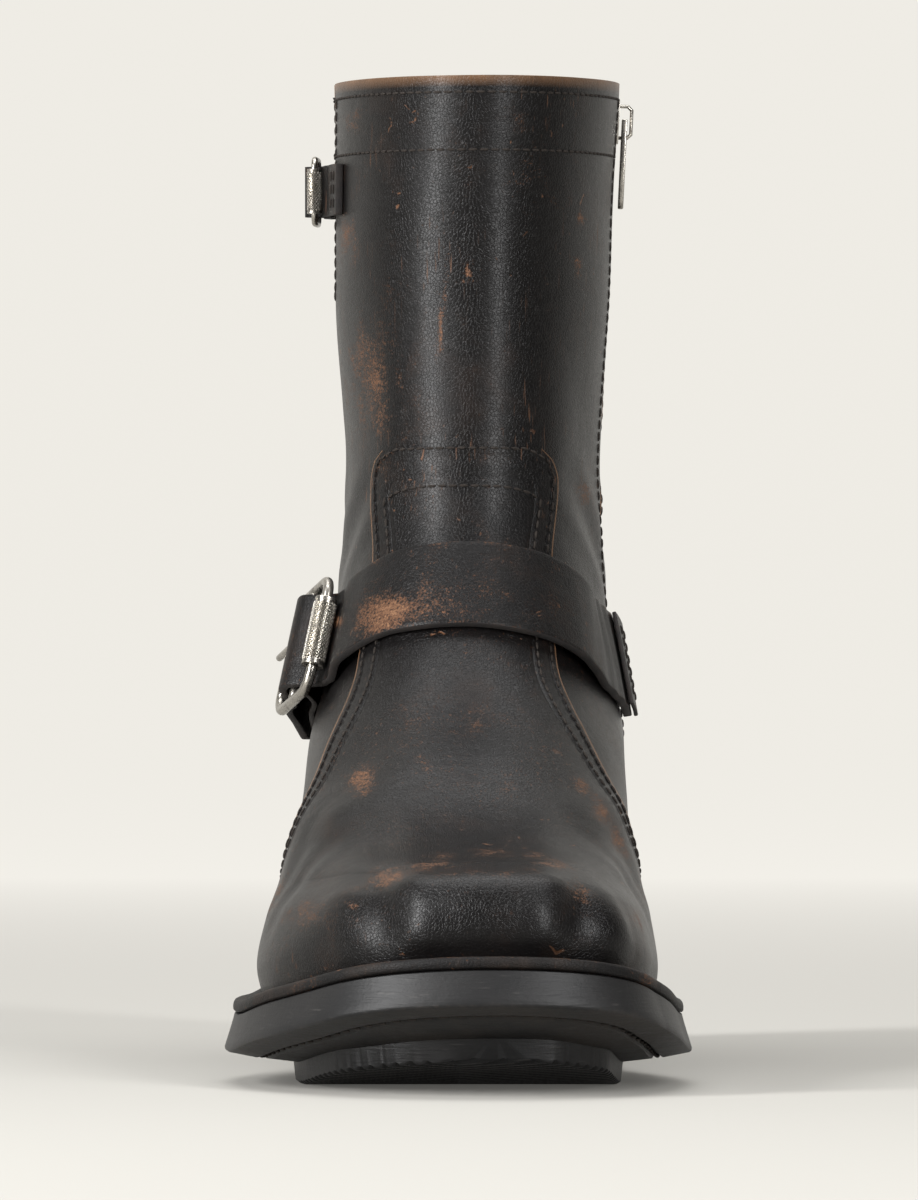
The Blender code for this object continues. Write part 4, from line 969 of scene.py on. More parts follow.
# A roller buckle; x along the strap, y along the bars, z off the boot
class Buckle:
    def __init__(self, name, line, turn, looks, tilt):
        height, length, wire = looks["frame"]
        rollerLength, rollerWall = looks["roller"]
        self.name, self.line, self.turn, self.wire = name, line, turn, wire
        self.halfLength = (length - wire) / 2
        self.halfHeight = (height - wire) / 2
        self.halfRoller = rollerLength / 2
        self.bore = wire / 2 + boot["gap"]
        self.roller = self.bore + rollerWall
        self.prong = looks["prong"]
        along, crossing, out = skinAxes(line, turn)
        self.place = Matrix([Vector(along), Vector(crossing), Vector(out)]).transposed().to_4x4()
        self.place.translation = Vector(atHeight(line(turn), math.pi + turn, looks["standoff"]))
        self.place = self.place @ Matrix.Rotation(tilt, 4, "Y")

    def row(self, x, z, width):
        return np.array([self.place @ Vector((x, share * width / 2, z)) for share in across])

    def prongRadius(self):
        return self.wire / 2 + boot["gap"] + self.prong / 2

    def strapWay(self, thickness):
        gap, half = boot["gap"], self.halfLength
        underRoller = -self.roller - gap * 1.4 - thickness
        overBar = self.wire / 2 + gap
        underRear = -self.wire / 2 - gap * 1.6 - thickness
        return [
            (-half - self.roller * 1.2, underRoller - thickness * 0.1),
            (-half, underRoller),
            (-half + self.roller * 1.1, underRoller + thickness * 0.20),
            (-half * 0.36, (underRoller + overBar) / 2 + thickness * 0.35),
            (-half * 0.12, overBar),
            (half * 0.12, overBar),
            (half * 0.52, (overBar + underRear) / 2),
            (half - self.wire * 0.8, underRear + thickness * 0.05),
            (half + self.wire * 0.8, underRear),
        ]

    def strapGrid(self, start, off, width, thickness, hanger, tail, rowCount):
        end = turnAfter(self.line, self.turn, -self.halfLength - self.roller * 3.2)
        rows = strapRows(np.linspace(start, end, 17), self.line, off, width)
        rows += [self.row(x, z, width) for x, z in self.strapWay(thickness)]
        rest = hanger + boot["gap"] * 3
        first = turnAfter(self.line, self.turn, self.halfLength + self.wire * 3.4)
        last = turnAfter(self.line, self.turn, tail)
        turns = np.linspace(first, last, 4)
        near = strapRows(turns[:3], self.line, lambda t: rest + hanger * (last - t) / (last - first), width)
        rows += near + strapRows(turns[3:], self.line, lambda t: rest + 0 * t, width * 0.72)
        return finer(rows, rowCount, 21)

    def hangerGrid(self, length, width, thickness, rowCount):
        near = turnAfter(self.line, self.turn, self.halfLength + self.wire)
        turns = np.linspace(turnAfter(self.line, self.turn, length), near, 5)
        rows = strapRows(turns, self.line, lambda t: thickness + boot["gap"] * 1.5 + 0 * t, width)
        radius = self.wire / 2 + boot["gap"]
        depth = (self.place.inverted() @ Vector(rows[-1][2])).z
        rows.append(self.row(self.halfLength * 0.62, depth * 0.86, width))
        for i in range(9):
            turn = math.radians(-75 - 200 * i / 8)
            rows.append(self.row(radius * math.cos(turn), radius * math.sin(turn), width))
        return finer(rows[::-1], rowCount, 15)

    def frameLoop(self, steps=10):
        halfX, halfY, radius = self.halfLength, self.halfHeight, self.wire * 1.7
        points = []
        for corner, (signX, signY) in enumerate(((1, 1), (-1, 1), (-1, -1), (1, -1))):
            for i in range(steps):
                turn = math.pi / 2 * (corner + i / (steps - 1))
                x = signX * (halfX - radius) + radius * math.cos(turn)
                y = signY * (halfY - radius) + radius * math.sin(turn)
                points.append((x, y, 0))
        return points

    def makeMetal(self):
        loop = tube(self.frameLoop(), self.wire, True, self.place)
        bar = tube([(0, -self.halfHeight, 0), (0, self.halfHeight, 0)], self.wire * 0.96, False, self.place)
        frame = joined(self.name + "_frame_metal", [loop, bar], "nickel")
        body(frame, "boot", "nickel", self.name + "_frame")
        radius = self.prongRadius()
        points = []
        for i in range(15):
            turn = math.radians(-70 - 200 * i / 14)
            points.append((radius * math.cos(turn), 0, radius * math.sin(turn)))
        points.append((self.halfLength * 0.5, 0, radius * 1.02))
        points.append((self.halfLength + self.wire * 0.35, 0, radius))
        prong = joined(self.name + "_prong_metal", [tube(points, self.prong, False, self.place)], "nickel")
        body(prong, "boot", "nickel", self.name + "_prong")

    # Knurled sleeve on the front bar: plain collars at its ends, a diamond pattern between
    def makeRoller(self, bodyName, around, along):
        half, outer, bore = self.halfRoller, self.roller, self.bore
        collar = half * 0.90
        low = outer * 0.93
        upper = [
            (low, collar * 0.99), (outer, collar), (outer, half * 0.98),
            (outer * 0.97, half), (bore, half),
        ]
        profile = [(r, -z) for r, z in upper[::-1]] + upper
        sides = 48
        turns = [2 * math.pi * i / sides for i in range(sides)]
        points = [(r * math.cos(turn), r * math.sin(turn), z) for r, z in profile for turn in turns]
        faces = gridFaces(len(profile) + 1, sides, True)
        faces = [tuple(v % len(points) for v in face) for face in faces]
        upright = Matrix.Rotation(math.pi / 2, 4, "X")
        onBar = self.place @ Matrix.Translation((-self.halfLength, 0, 0)) @ upright
        mesh = meshOf(self.name + "RollerSleeve", points, faces)
        mesh.transform(onBar)
        sleeve = addPiece(self.name + "_roller_sleeve", mesh, ["nickel"])
        faceOut(mesh)
        places, outs, ways = [], [], []
        for j in range(along):
            z = -collar * 0.94 + 2 * collar * 0.94 * (j + 0.5) / along
            for i in range(around):
                turn = 2 * math.pi * (i + 0.5 * (j % 2)) / around
                out = Vector((math.cos(turn), math.sin(turn), 0))
                places.append(onBar @ (out * low * 0.985 + Vector((0, 0, z))))
                outs.append(onBar.to_3x3() @ out)
                ways.append(onBar.to_3x3() @ Vector((0, 0, 1)))
        pitch = 2 * collar * 0.94 / along
        knurl = scatter(self.name + "_knurl", places, ways, outs, "knob", "nickel",
                        (pitch * 1.9, 2 * math.pi * outer / around * 0.96, outer * 0.15))
        roller = joined(self.name + "_roller_metal", [sleeve, knurl], "nickel", 14)
        body(roller, bodyName, "nickel", self.name + "_roller")


def faceOut(mesh):
    work = bmesh.new()
    work.from_mesh(mesh)
    bmesh.ops.recalc_face_normals(work, faces=work.faces)
    work.to_mesh(mesh)
    work.free()


# A round wire through points, as a mesh object
def tube(points, thickness, cyclic, place):
    path = bpy.data.curves.new("path", "CURVE")
    path.dimensions = "3D"
    path.bevel_depth = thickness / 2
    path.bevel_resolution = 5
    path.use_fill_caps = True
    spline = path.splines.new("POLY")
    spline.points.add(len(points) - 1)
    for knot, point in zip(spline.points, points):
        knot.co = (*point, 1)
    spline.use_cyclic_u = cyclic
    curve = bpy.data.objects.new("path", path)
    bpy.context.scene.collection.objects.link(curve)
    bpy.context.view_layer.update()
    mesh = bpy.data.meshes.new_from_object(curve.evaluated_get(bpy.context.evaluated_depsgraph_get()))
    bpy.data.objects.remove(curve, do_unlink=True)
    mesh.materials.clear()
    mesh.transform(place)
    made = bpy.data.objects.new("wire", mesh)
    bpy.context.scene.collection.objects.link(made)
    return made


# One piece from several mesh objects
def joined(name, parts, finishName, angle=40):
    work = bmesh.new()
    for part in parts:
        work.from_mesh(part.data)
        bpy.data.objects.remove(part, do_unlink=True)
    bmesh.ops.remove_doubles(work, verts=work.verts, dist=0.000005)
    bmesh.ops.recalc_face_normals(work, faces=work.faces)
    for face in work.faces:
        face.material_index = 0
    mesh = bpy.data.meshes.new(name)
    work.to_mesh(mesh)
    work.free()
    piece = addPiece(name, mesh, [finishName])
    smoothShade(mesh, angle)
    return piece


# Stitches, knobs or teeth on points: each lies along its point's "way" and faces its "out"
def scatterTree(shape):
    name = "repeat_" + shape
    if name in bpy.data.node_groups:
        return bpy.data.node_groups[name]
    tree = bpy.data.node_groups.new(name, "GeometryNodeTree")
    face = tree.interface
    face.new_socket("Geometry", in_out="INPUT", socket_type="NodeSocketGeometry")
    face.new_socket("Size", in_out="INPUT", socket_type="NodeSocketVector")
    face.new_socket("Finish", in_out="INPUT", socket_type="NodeSocketMaterial")
    face.new_socket("Geometry", in_out="OUTPUT", socket_type="NodeSocketGeometry")
    nodes, link = tree.nodes, tree.links.new
    start, end = nodes.new("NodeGroupInput"), nodes.new("NodeGroupOutput")
    if shape == "tooth":
        form = nodes.new("GeometryNodeMeshCube")
        form.inputs["Size"].default_value = (1, 1, 1)
    elif shape == "knob":
        form = nodes.new("GeometryNodeMeshCone")
        form.inputs["Vertices"].default_value = 4
        form.inputs["Radius Top"].default_value = 0.16
        form.inputs["Radius Bottom"].default_value = 0.5
        form.inputs["Depth"].default_value = 1.0
    else:
        form = nodes.new("GeometryNodeMeshUVSphere")
        form.inputs["Segments"].default_value = 8
        form.inputs["Rings"].default_value = 5
        form.inputs["Radius"].default_value = 0.5
    turn = nodes.new("FunctionNodeAxesToRotation")
    turn.primary_axis, turn.secondary_axis = "Z", "X"
    for key, socket in (("out", "Primary Axis"), ("way", "Secondary Axis")):
        named = nodes.new("GeometryNodeInputNamedAttribute")
        named.data_type = "FLOAT_VECTOR"
        named.inputs["Name"].default_value = key
        link(named.outputs["Attribute"], turn.inputs[socket])
    place = nodes.new("GeometryNodeInstanceOnPoints")
    link(start.outputs["Geometry"], place.inputs["Points"])
    link(form.outputs["Mesh"], place.inputs["Instance"])
    link(turn.outputs["Rotation"], place.inputs["Rotation"])
    link(start.outputs["Size"], place.inputs["Scale"])
    real = nodes.new("GeometryNodeRealizeInstances")
    link(place.outputs["Instances"], real.inputs["Geometry"])
    paint = nodes.new("GeometryNodeSetMaterial")
    link(real.outputs["Geometry"], paint.inputs["Geometry"])
    link(start.outputs["Finish"], paint.inputs["Material"])
    link(paint.outputs["Geometry"], end.inputs["Geometry"])
    return tree


def scatter(name, places, ways, outs, shape, finishName, size):
    mesh = meshOf(name, places, [])
    for key, vectors in (("way", ways), ("out", outs)):
        attribute = mesh.attributes.new(key, "FLOAT_VECTOR", "POINT")
        attribute.data.foreach_set("vector", np.array(vectors, np.float32).ravel())
    piece = bpy.data.objects.new(name, mesh)
    bpy.context.scene.collection.objects.link(piece)
    repeat = piece.modifiers.new("repeat", "NODES")
    repeat.node_group = scatterTree(shape)
    sockets = [item for item in repeat.node_group.interface.items_tree if item.in_out == "INPUT"]
    inputs = {item.name: item.identifier for item in sockets}
    repeat[inputs["Size"]] = size
    repeat[inputs["Finish"]] = finishes[finishName]
    settle(piece)
    for key in ("way", "out"):
        if key in piece.data.attributes:
            piece.data.attributes.remove(piece.data.attributes[key])
    return piece


def makeStraps():
    buckle = Buckle("buckle", strapHeight, instepLooks["angle"], instepLooks, instepLooks["tilt"])
    start = instepLooks["line"][0][0]
    width, thick, hanger = instepLooks["width"], instepLooks["thickness"], instepLooks["hangerThickness"]
    grid = buckle.strapGrid(start, strapOff, width, thick, hanger, instepLooks["tail"], 300)
    strap = leatherStrap("instep_strap_leather", grid, thick, 0.05, 0.42, 0.00016)
    body(strap, "boot", "strap_leather", "instep_strap")
    grid = buckle.hangerGrid(instepLooks["hanger"], instepLooks["hangerWidth"], hanger, 120)
    piece = leatherStrap("buckle_strap_leather", grid, -hanger, 0.1, 0.4)
    body(piece, "boot", "strap_leather", "buckle_strap")
    end = turnAfter(strapHeight, start, instepLooks["keeperWidth"])
    off = lambda turn: strapOff(turn) + thick + boot["gap"] * 1.6
    grid = finer(strapRows(np.linspace(start - 0.01, end, 6), strapHeight, off, width), 30, 21)
    keeper = leatherStrap("strap_keeper_leather", grid, instepLooks["keeperThickness"], 0.1, 0.5)
    body(keeper, "boot", "strap_leather", "strap_keeper")
    buckle.makeMetal()
    buckle.makeRoller("instep_roller", 22, 26)
    top = Buckle("top_buckle", topHeight, topLooks["angle"], topLooks, 0.0)
    thick, hanger = topLooks["thickness"], topLooks["hangerThickness"]
    off = lambda turn: boot["gap"] * 1.4 + 0 * turn
    grid = top.strapGrid(topLooks["root"], off, topLooks["width"], thick, hanger, topLooks["tail"], 150)
    body(leatherStrap("top_strap_leather", grid, thick, 0.0, 0.35), "boot", "strap_leather", "top_strap")
    grid = top.hangerGrid(topLooks["hanger"], topLooks["width"], hanger, 90)
    piece = leatherStrap("top_buckle_strap_leather", grid, -hanger, 0.0, 0.35)
    body(piece, "boot", "strap_leather", "top_buckle_strap")
    top.makeMetal()
    top.makeRoller("top_roller", 16, 20)


makeStraps()
print("straps and buckles made")


def outlineRing(grow, height, count):
    angles = np.arange(count) * 2 * math.pi / count
    flat = outline(angles, grow)
    return np.column_stack([flat, height(flat[:, 1])])


# Rings one above another as one surface, open at both ends, or a band that closes on itself
def ringMesh(name, rings, closedBand=False, caps=False):
    count = len(rings[0])
    points = np.concatenate(rings)
    rowCount = len(rings) + (1 if closedBand else 0)
    faces = [tuple(v % len(points) for v in face) for face in gridFaces(rowCount, count, True)]
    if caps:
        for start in (0, (len(rings) - 1) * count):
            faces.append((start, start + 1, start + count - 1))
            for i in range(1, count // 2 - 1):
                faces.append(tuple(start + j for j in (i, i + 1, count - i - 1, count - i)))
            middle = start + count // 2
            faces.append((middle - 1, middle, middle + 1))
    mesh = meshOf(name, points, faces)
    faceOut(mesh)
    return mesh


soleLooks = {
    "columns": 520,
    "groove": 0.0009,
    "grooveInset": 0.0085,
    "ribHeight": 0.0011,
    "ribPitch": 0.0034,
    "treadInset": 0.017,
    "treadBevel": 0.0026,
    "crown": 0.0026,
    "heelLength": 0.070,
    "heelLift": 0.0065,
    "heelTaper": 0.0022,
    "heelLayers": 4,
}


def soleCrown(y):
    along = (boot["heelBack"] - y) / boot["soleLength"]
    return smooth((0.0, 0.30, 0.55, 0.85, 1.0), (0.0, 0.0, 1.0, 1.0, 0.4), along)


def makeWelt():
    thick, count = boot["weltThickness"], soleLooks["columns"]
    low = lambda share: (lambda y: weltTop(y) - thick * (1 - share))
    profile = [
        (soleGrow + thick * 0.02, 0.00), (soleGrow + thick * 0.12, 0.12), (soleGrow + thick * 0.13, 0.45),
        (soleGrow + thick * 0.06, 0.72), (soleGrow - thick * 0.06, 0.90), (soleGrow - thick * 0.26, 1.0),
        (soleGrow * 0.62, 0.97), (soleGrow * 0.55, 0.85), (soleGrow * 0.48, 0.97), (soleGrow * 0.2, 1.0),
        (-boot["upperWall"], 1.0), (-boot["upperWall"], 0.0),
    ]
    rings = [outlineRing(grow, low(share), count) for grow, share in profile]
    piece = addPiece("welt_leather_strip", ringMesh("welt", rings, closedBand=True), ["welt"])
    points = coordinates(piece.data)
    top = np.clip((points[:, 2] - low(0.8)(points[:, 1])) / (thick * 0.2), 0, 1)
    front = np.clip((-points[:, 1] - 0.215) / 0.03, 0, 1)
    mark = np.maximum(0.5 * top * front, 0.26 * top)
    corner = np.exp(-((np.abs(points[:, 0]) - 0.045) / 0.008) ** 2) * front * 0.6
    setField(piece.data, "wear", np.maximum(mark, corner))
    setField(piece.data, "bare", np.zeros(len(points)))
    smoothShade(piece.data, 50)
    body(piece, "boot", "welt_leather", "welt")


def makeOutsole():
    thick, flare, count = boot["outsoleThickness"], boot["outsoleFlare"], soleLooks["columns"]
    edge = soleGrow + flare
    at = lambda share: (lambda y: soleEdge(y) + thick * share)
    under = lambda share, dip=0.0: (lambda y: soleEdge(y) - soleLooks["crown"] * share * soleCrown(y) + dip)
    inset, groove = soleLooks["grooveInset"], soleLooks["groove"]
    profile = [
        (soleGrow * 0.2, at(1.0)), (soleGrow - 0.0006, at(1.0)), (soleGrow, at(0.96)),
        (soleGrow + flare * 0.16, at(0.80)), (soleGrow + flare * 0.45, at(0.55)),
        (soleGrow + flare * 0.78, at(0.28)), (edge, at(0.10)), (edge - 0.0001, at(0.04)),
        (edge - 0.0006, at(0.0)), (edge - inset + groove * 1.6, under(0.5)),
        (edge - inset + groove * 0.8, under(0.55, groove)),
        (edge - inset - groove * 0.8, under(0.55, groove)),
        (edge - inset - groove * 1.6, under(0.6)),
        (edge - soleLooks["treadInset"] * 1.10, under(1.0)),
    ]
    rings = [outlineRing(grow, height, count) for grow, height in profile]
    piece = addPiece("outsole_rubber", ringMesh("outsole", rings, caps=True), ["rubber"])
    points = coordinates(piece.data)
    low = np.clip(1 - (points[:, 2] - soleEdge(points[:, 1])) / 0.002, 0, 1)
    setField(piece.data, "wear", 0.42 * low + 0.14)
    smoothShade(piece.data, 40)
    body(piece, "boot", "black_rubber", "outsole")
    body(makeTread(), "boot", "black_rubber")


# Where the outline, grown outwards, has each y on its inner side (1) or outer side (-1)
def outlineAt(y, grow, side):
    low, high = 0 * y, 0 * y + math.pi
    for _ in range(26):
        middle = (low + high) / 2
        behind = outline(side * middle, grow)[:, 1] > y
        low = np.where(behind, middle, low)
        high = np.where(behind, high, middle)
    return outline(side * (low + high) / 2, grow)[:, 0]


# Tread pad under the forefoot, its lower face cut into slanting ribs
def makeTread():
    inset, bevel = soleLooks["treadInset"], soleLooks["treadBevel"]
    frontDraw, backDraw = 0.62, 0.2
    wide = soleGrow + boot["outsoleFlare"] - inset
    front = float(outline(np.array([math.pi]), wide - inset * frontDraw)[0, 1])
    back = boot["heelBack"] - boot["soleLength"] * 0.50
    rowCount, columns = 260, 110
    share = np.linspace(0, 1, rowCount)
    y = front + (back - front) * share
    # Its sides are drawn in at both ends.
    draw = frontDraw * np.maximum(0, 1 - share / 0.16) ** 2 + backDraw * np.maximum(0, (share - 0.93) / 0.07)
    grow = wide - inset * draw
    left, right = outlineAt(y, grow, -1)[:, None], outlineAt(y, grow, 1)[:, None]
    shares = np.linspace(0, 1, columns)
    x = left + (right - left) * shares
    y = y[:, None] + 0 * x
    low = soleEdge(y) - boot["treadDepth"]
    # 1 at the pad's rim, 0 a little way in
    end = np.maximum(np.maximum(0, 1 - share / 0.018), (share - 0.982) / 0.018)[:, None]
    side = np.maximum(np.maximum(0, 1 - shares / 0.028), (shares - 0.972) / 0.028)
    rim = np.maximum(end, side)
    slant, middle = 0.42, -0.004
    wave = 0.5 + 0.5 * np.cos(2 * math.pi * (y + slant * np.abs(x - middle)) / soleLooks["ribPitch"])
    cut = soleLooks["ribHeight"] * np.maximum(0, 1 - wave * 1.7)
    root = soleEdge(y) - soleLooks["crown"] * 0.2
    z = np.where(rim < 0.999, low + np.maximum(bevel * 0.62 * rim**2, cut), root)
    points = np.stack([x, y, z], -1).reshape(-1, 3)
    faces = [face[::-1] for face in gridFaces(rowCount, columns)]
    last = (rowCount - 1) * columns
    loop = list(range(columns)) + [j * columns + columns - 1 for j in range(1, rowCount)]
    loop += [last + i for i in range(columns - 2, -1, -1)]
    loop += [j * columns for j in range(rowCount - 2, 0, -1)]
    faces.append(tuple(loop))
    mesh = meshOf("tread", points, faces)
    faceOut(mesh)
    piece = addPiece("tread_pad", mesh, ["rubber"])
    setField(piece.data, "wear", np.full(len(piece.data.vertices), 0.15))
    smoothShade(piece.data, 40)
    return piece


def heelRing(grow, height, count=120):
    breast = boot["heelBack"] - soleLooks["heelLength"]
    angles = np.linspace(-math.pi, math.pi, 1440)
    flat = outline(angles, grow)
    inside = flat[:, 1] > breast
    arc = flat[inside]
    lengths = np.concatenate([[0], np.cumsum(np.linalg.norm(np.diff(arc, axis=0), axis=1))])
    places = np.linspace(0, lengths[-1], count - 24)
    arc = np.column_stack([np.interp(places, lengths, arc[:, 0]), np.interp(places, lengths, arc[:, 1])])
    shares = np.linspace(0, 1, 26)[1:-1, None]
    flat = np.concatenate([arc, arc[-1] * (1 - shares) + arc[0] * shares])
    flat = np.roll(flat, -(count - 24) // 2, axis=0)
    return np.column_stack([flat, height(flat[:, 1])])


def makeHeel():
    taper, lift, gap = soleLooks["heelTaper"], soleLooks["heelLift"], boot["gap"]
    grow = soleGrow - taper * 0.3
    share = lift / (boot["treadDepth"] + boot["heelRise"])
    waist = grow - taper * (1 - share)
    flat = lambda z: (lambda y: z + 0 * y)
    upTo = lambda part: (lambda y: (lift + gap) * (1 - part) + (soleEdge(y) - gap) * part)
    layers = soleLooks["heelLayers"]
    rings = []
    for j in range(layers):
        for part, dip in ((0.0, 0.0004), (0.04, 0.0), (0.95, 0.0), (0.99, 0.0004)):
            height = (j + part) / layers
            rings.append(heelRing(waist + (grow - waist) * height - dip, upTo(height)))
    heel = addPiece("heel_stack", ringMesh("heel", rings, caps=True), ["rubber"])
    bottom = [
        (grow - taper - 0.0008, 0.0), (grow - taper, 0.0007),
        (waist, lift - 0.0004), (waist - 0.0004, lift),
    ]
    rings = [heelRing(wide, flat(z)) for wide, z in bottom]
    cap = addPiece("heel_lift_rubber", ringMesh("heelLift", rings, caps=True), ["rubber"])
    for piece, node, base in ((heel, "heel", 0.12), (cap, "heel_lift", 0.36)):
        setField(piece.data, "wear", np.full(len(piece.data.vertices), base))
        smoothShade(piece.data, 40)
        body(piece, "boot", "black_rubber", node)


# A piece with the form of a CAD node, its edges rounded
def dressed(node, name, bodyName, slotName, finishName, round_):
    mesh = frame["nodes"][node].data.copy()
    work = bmesh.new()
    work.from_mesh(mesh)
    bmesh.ops.remove_doubles(work, verts=work.verts, dist=0.000005)
    bmesh.ops.dissolve_limit(work, angle_limit=math.radians(1), verts=work.verts, edges=work.edges)
    work.to_mesh(mesh)
    work.free()
    mesh.materials.clear()
    piece = addPiece(name, mesh, [finishName])
    for face in mesh.polygons:
        face.material_index = 0
    if round_:
        bevel = piece.modifiers.new("round", "BEVEL")
        bevel.width = round_
        bevel.segments = 3
        bevel.limit_method = "ANGLE"
        bevel.angle_limit = math.radians(35)
        settle(piece)
    for key in ("wear", "bare"):
        if key not in piece.data.attributes:
            setField(piece.data, key, np.zeros(len(piece.data.vertices)))
    smoothShade(piece.data, 40)
    return body(piece, bodyName, slotName, node)


# Stitches evenly along a path: their middle points and their directions
def stitchLine(path, pitch):
    path = np.array(path)
    lengths = np.concatenate([[0], np.cumsum(np.linalg.norm(np.diff(path, axis=0), axis=1))])
    count = max(2, int(lengths[-1] / pitch))
    at = (np.arange(count) + 0.5) * lengths[-1] / count
    centre, ahead, behind = [
        np.column_stack([np.interp(at + shift * pitch, lengths, path[:, c]) for c in range(3)])
        for shift in (0, 0.3, -0.3)
    ]
    return centre, unit(ahead - behind)


def surfaceTree(name):
    mesh = bpy.data.objects[name].data
    return BVHTree.FromPolygons([v.co for v in mesh.vertices], [tuple(p.vertices) for p in mesh.polygons])


stitchLooks = {
    "thick": 0.00075,
    "length": 0.0026,
    "sole": (0.0036, 0.0010, 0.0009),
    "solePitch": 0.0042,
    "collar": (0.0024, 0.0106),
    "zipInset": 0.0026,
    "gussetInset": 0.0024,
    "backSpread": 0.12,
    # Each row of the vamp: its inset, the rings where it starts and turns over the tongue
    "vamp": ((0.0024, 0.55, 8.05), (0.0078, 0.75, 7.72)),
}


# A row of stitches sunk a little into the nearest face of a finished piece
def rowOn(tree, path, pitch):
    places, ways = stitchLine(path, pitch)
    found, outs = [], []
    for place in places:
        spot, out = tree.find_nearest(Vector(place))[:2]
        found.append(spot + out * stitchLooks["thick"] * 0.1)
        outs.append(out)
    return np.array(found), ways, np.array(outs)


# Rows of stitches as one piece
def sew(name, slotName, rows, size):
    places, ways, outs = (np.concatenate(part) for part in zip(*rows))
    piece = scatter(name, places, ways, outs, "stitch", "thread", size)
    piece.data.shade_smooth()
    body(piece, "boot", slotName)


# Rows just inside the vamp's edge: up one side, over the tongue and down the other
def vampPath(inset, first, last):
    k = np.linspace(first, last, 260)
    middle, spread = vampMiddle(k), vampSpread(k)
    speed = np.linalg.norm(skin(k, middle + spread) - skin(k, middle + spread - 0.01), axis=1) / 0.01
    reach = spread - inset / speed
    outer = vampMargin + 0.001
    shares = np.linspace(1, -1, 40)[1:-1]
    left = onSkin(k, middle + reach, outer + 0 * k)
    right = onSkin(k, middle - reach, outer + 0 * k)[::-1]
    over = onSkin(last + 0.12 * (1 - shares**4), middle[-1] + reach[-1] * shares, outer + 0 * shares)
    return np.concatenate([left, over, right])


def upperRows():
    leather, vamp = surfaceTree("upper_leather"), surfaceTree("vamp_leather")
    collar, ringStep, speed = boot["collarHeight"], 0.0316, 0.042
    rows = []
    for down in stitchLooks["collar"]:
        angles = np.linspace(math.pi / 2 + 0.14, math.pi / 2 - 0.14 + 2 * math.pi, 500)
        k = np.minimum(ringOfHeight(collar + 0 * angles, angles), 10) - down / ringStep
        rows.append(rowOn(leather, skin(k, angles), 0.0029))
    # Both sides of the zip and of the gusset
    for side in (-1, 1):
        z = np.linspace(collar - 0.004, collar - zipCuts["length"] - 0.003, 200)
        beside = side * (zipHalf(z) + stitchLooks["zipInset"]) / speed
        rows.append(rowOn(leather, atHeight(z, zipAngle(z) + beside, 0), 0.0031))
        z = np.linspace(collar - 0.004, collar - gussetCuts["depth"] - 0.003, 80)
        beside = side * (gussetHalf(z) + stitchLooks["gussetInset"]) / speed
        rows.append(rowOn(leather, atHeight(z, gussetCuts["angle"] + beside, 0), 0.0031))
    for inset, first, last in stitchLooks["vamp"]:
        rows.append(rowOn(vamp, vampPath(inset, first, last), 0.0030))
    # Back seam: the strip's two rows up the heel
    k = np.linspace(0.8, 9.6, 160)
    for side in (-1, 1):
        rows.append(rowOn(leather, skin(k, side * stitchLooks["backSpread"] + 0 * k), 0.0032))
    return rows


# Rows across the strap's sewn end and the top strap's root
def strapStitchRows():
    ends = strapRows([-1.46, -1.38], strapHeight, lambda t: strapOff(t) + 0.005, instepLooks["width"] * 0.8)
    roots = strapRows([topLooks["root"] + 0.05, topLooks["root"] + 0.11], topHeight,
                      lambda t: 0.003 + 0 * t, topLooks["width"] * 0.8)
    keeper, top = surfaceTree("strap_keeper_leather"), surfaceTree("top_strap_leather")
    return [rowOn(keeper, row, 0.0029) for row in ends] + [rowOn(top, row, 0.0029) for row in roots]


# Lockstitch on the welt and in the sole's groove
def soleRows():
    rows = []
    edge = soleGrow + boot["outsoleFlare"] - soleLooks["grooveInset"]
    breast = boot["heelBack"] - soleLooks["heelLength"] - 0.004
    weltLine = lambda y: weltTop(y) - boot["weltThickness"] * 0.10
    crown, groove = soleLooks["crown"] * 0.55, soleLooks["groove"] * 0.5
    grooveLine = lambda y: soleEdge(y) - crown * soleCrown(y) + groove
    # How far out, at which height, which way it faces and how far back it goes
    lines = ((soleGrow * 0.55, weltLine, 1.0, 1.0), (edge, grooveLine, -1.0, breast))
    for grow, height, facing, back in lines:
        ring = outlineRing(grow, height, 900)
        places, ways = stitchLine(np.concatenate([ring, ring[:1]]), stitchLooks["solePitch"])
        keep = places[:, 1] < back
        rows.append((places[keep], ways[keep], np.tile((0, 0, facing), (int(keep.sum()), 1))))
    return rows


def makeStitches():
    size = (stitchLooks["length"], stitchLooks["thick"], stitchLooks["thick"])
    sew("upper_stitches", "black_leather", upperRows(), size)
    sew("strap_stitches", "strap_leather", strapStitchRows(), size)
    sew("sole_stitches", "welt_leather", soleRows(), stitchLooks["sole"])


# Zip: two rows of teeth on the tape, slider and pull
zipLooks = {"pitch": 0.0019, "toothLength": 0.0031, "tooth": 0.0011, "thick": 0.0013, "aside": 0.00095}


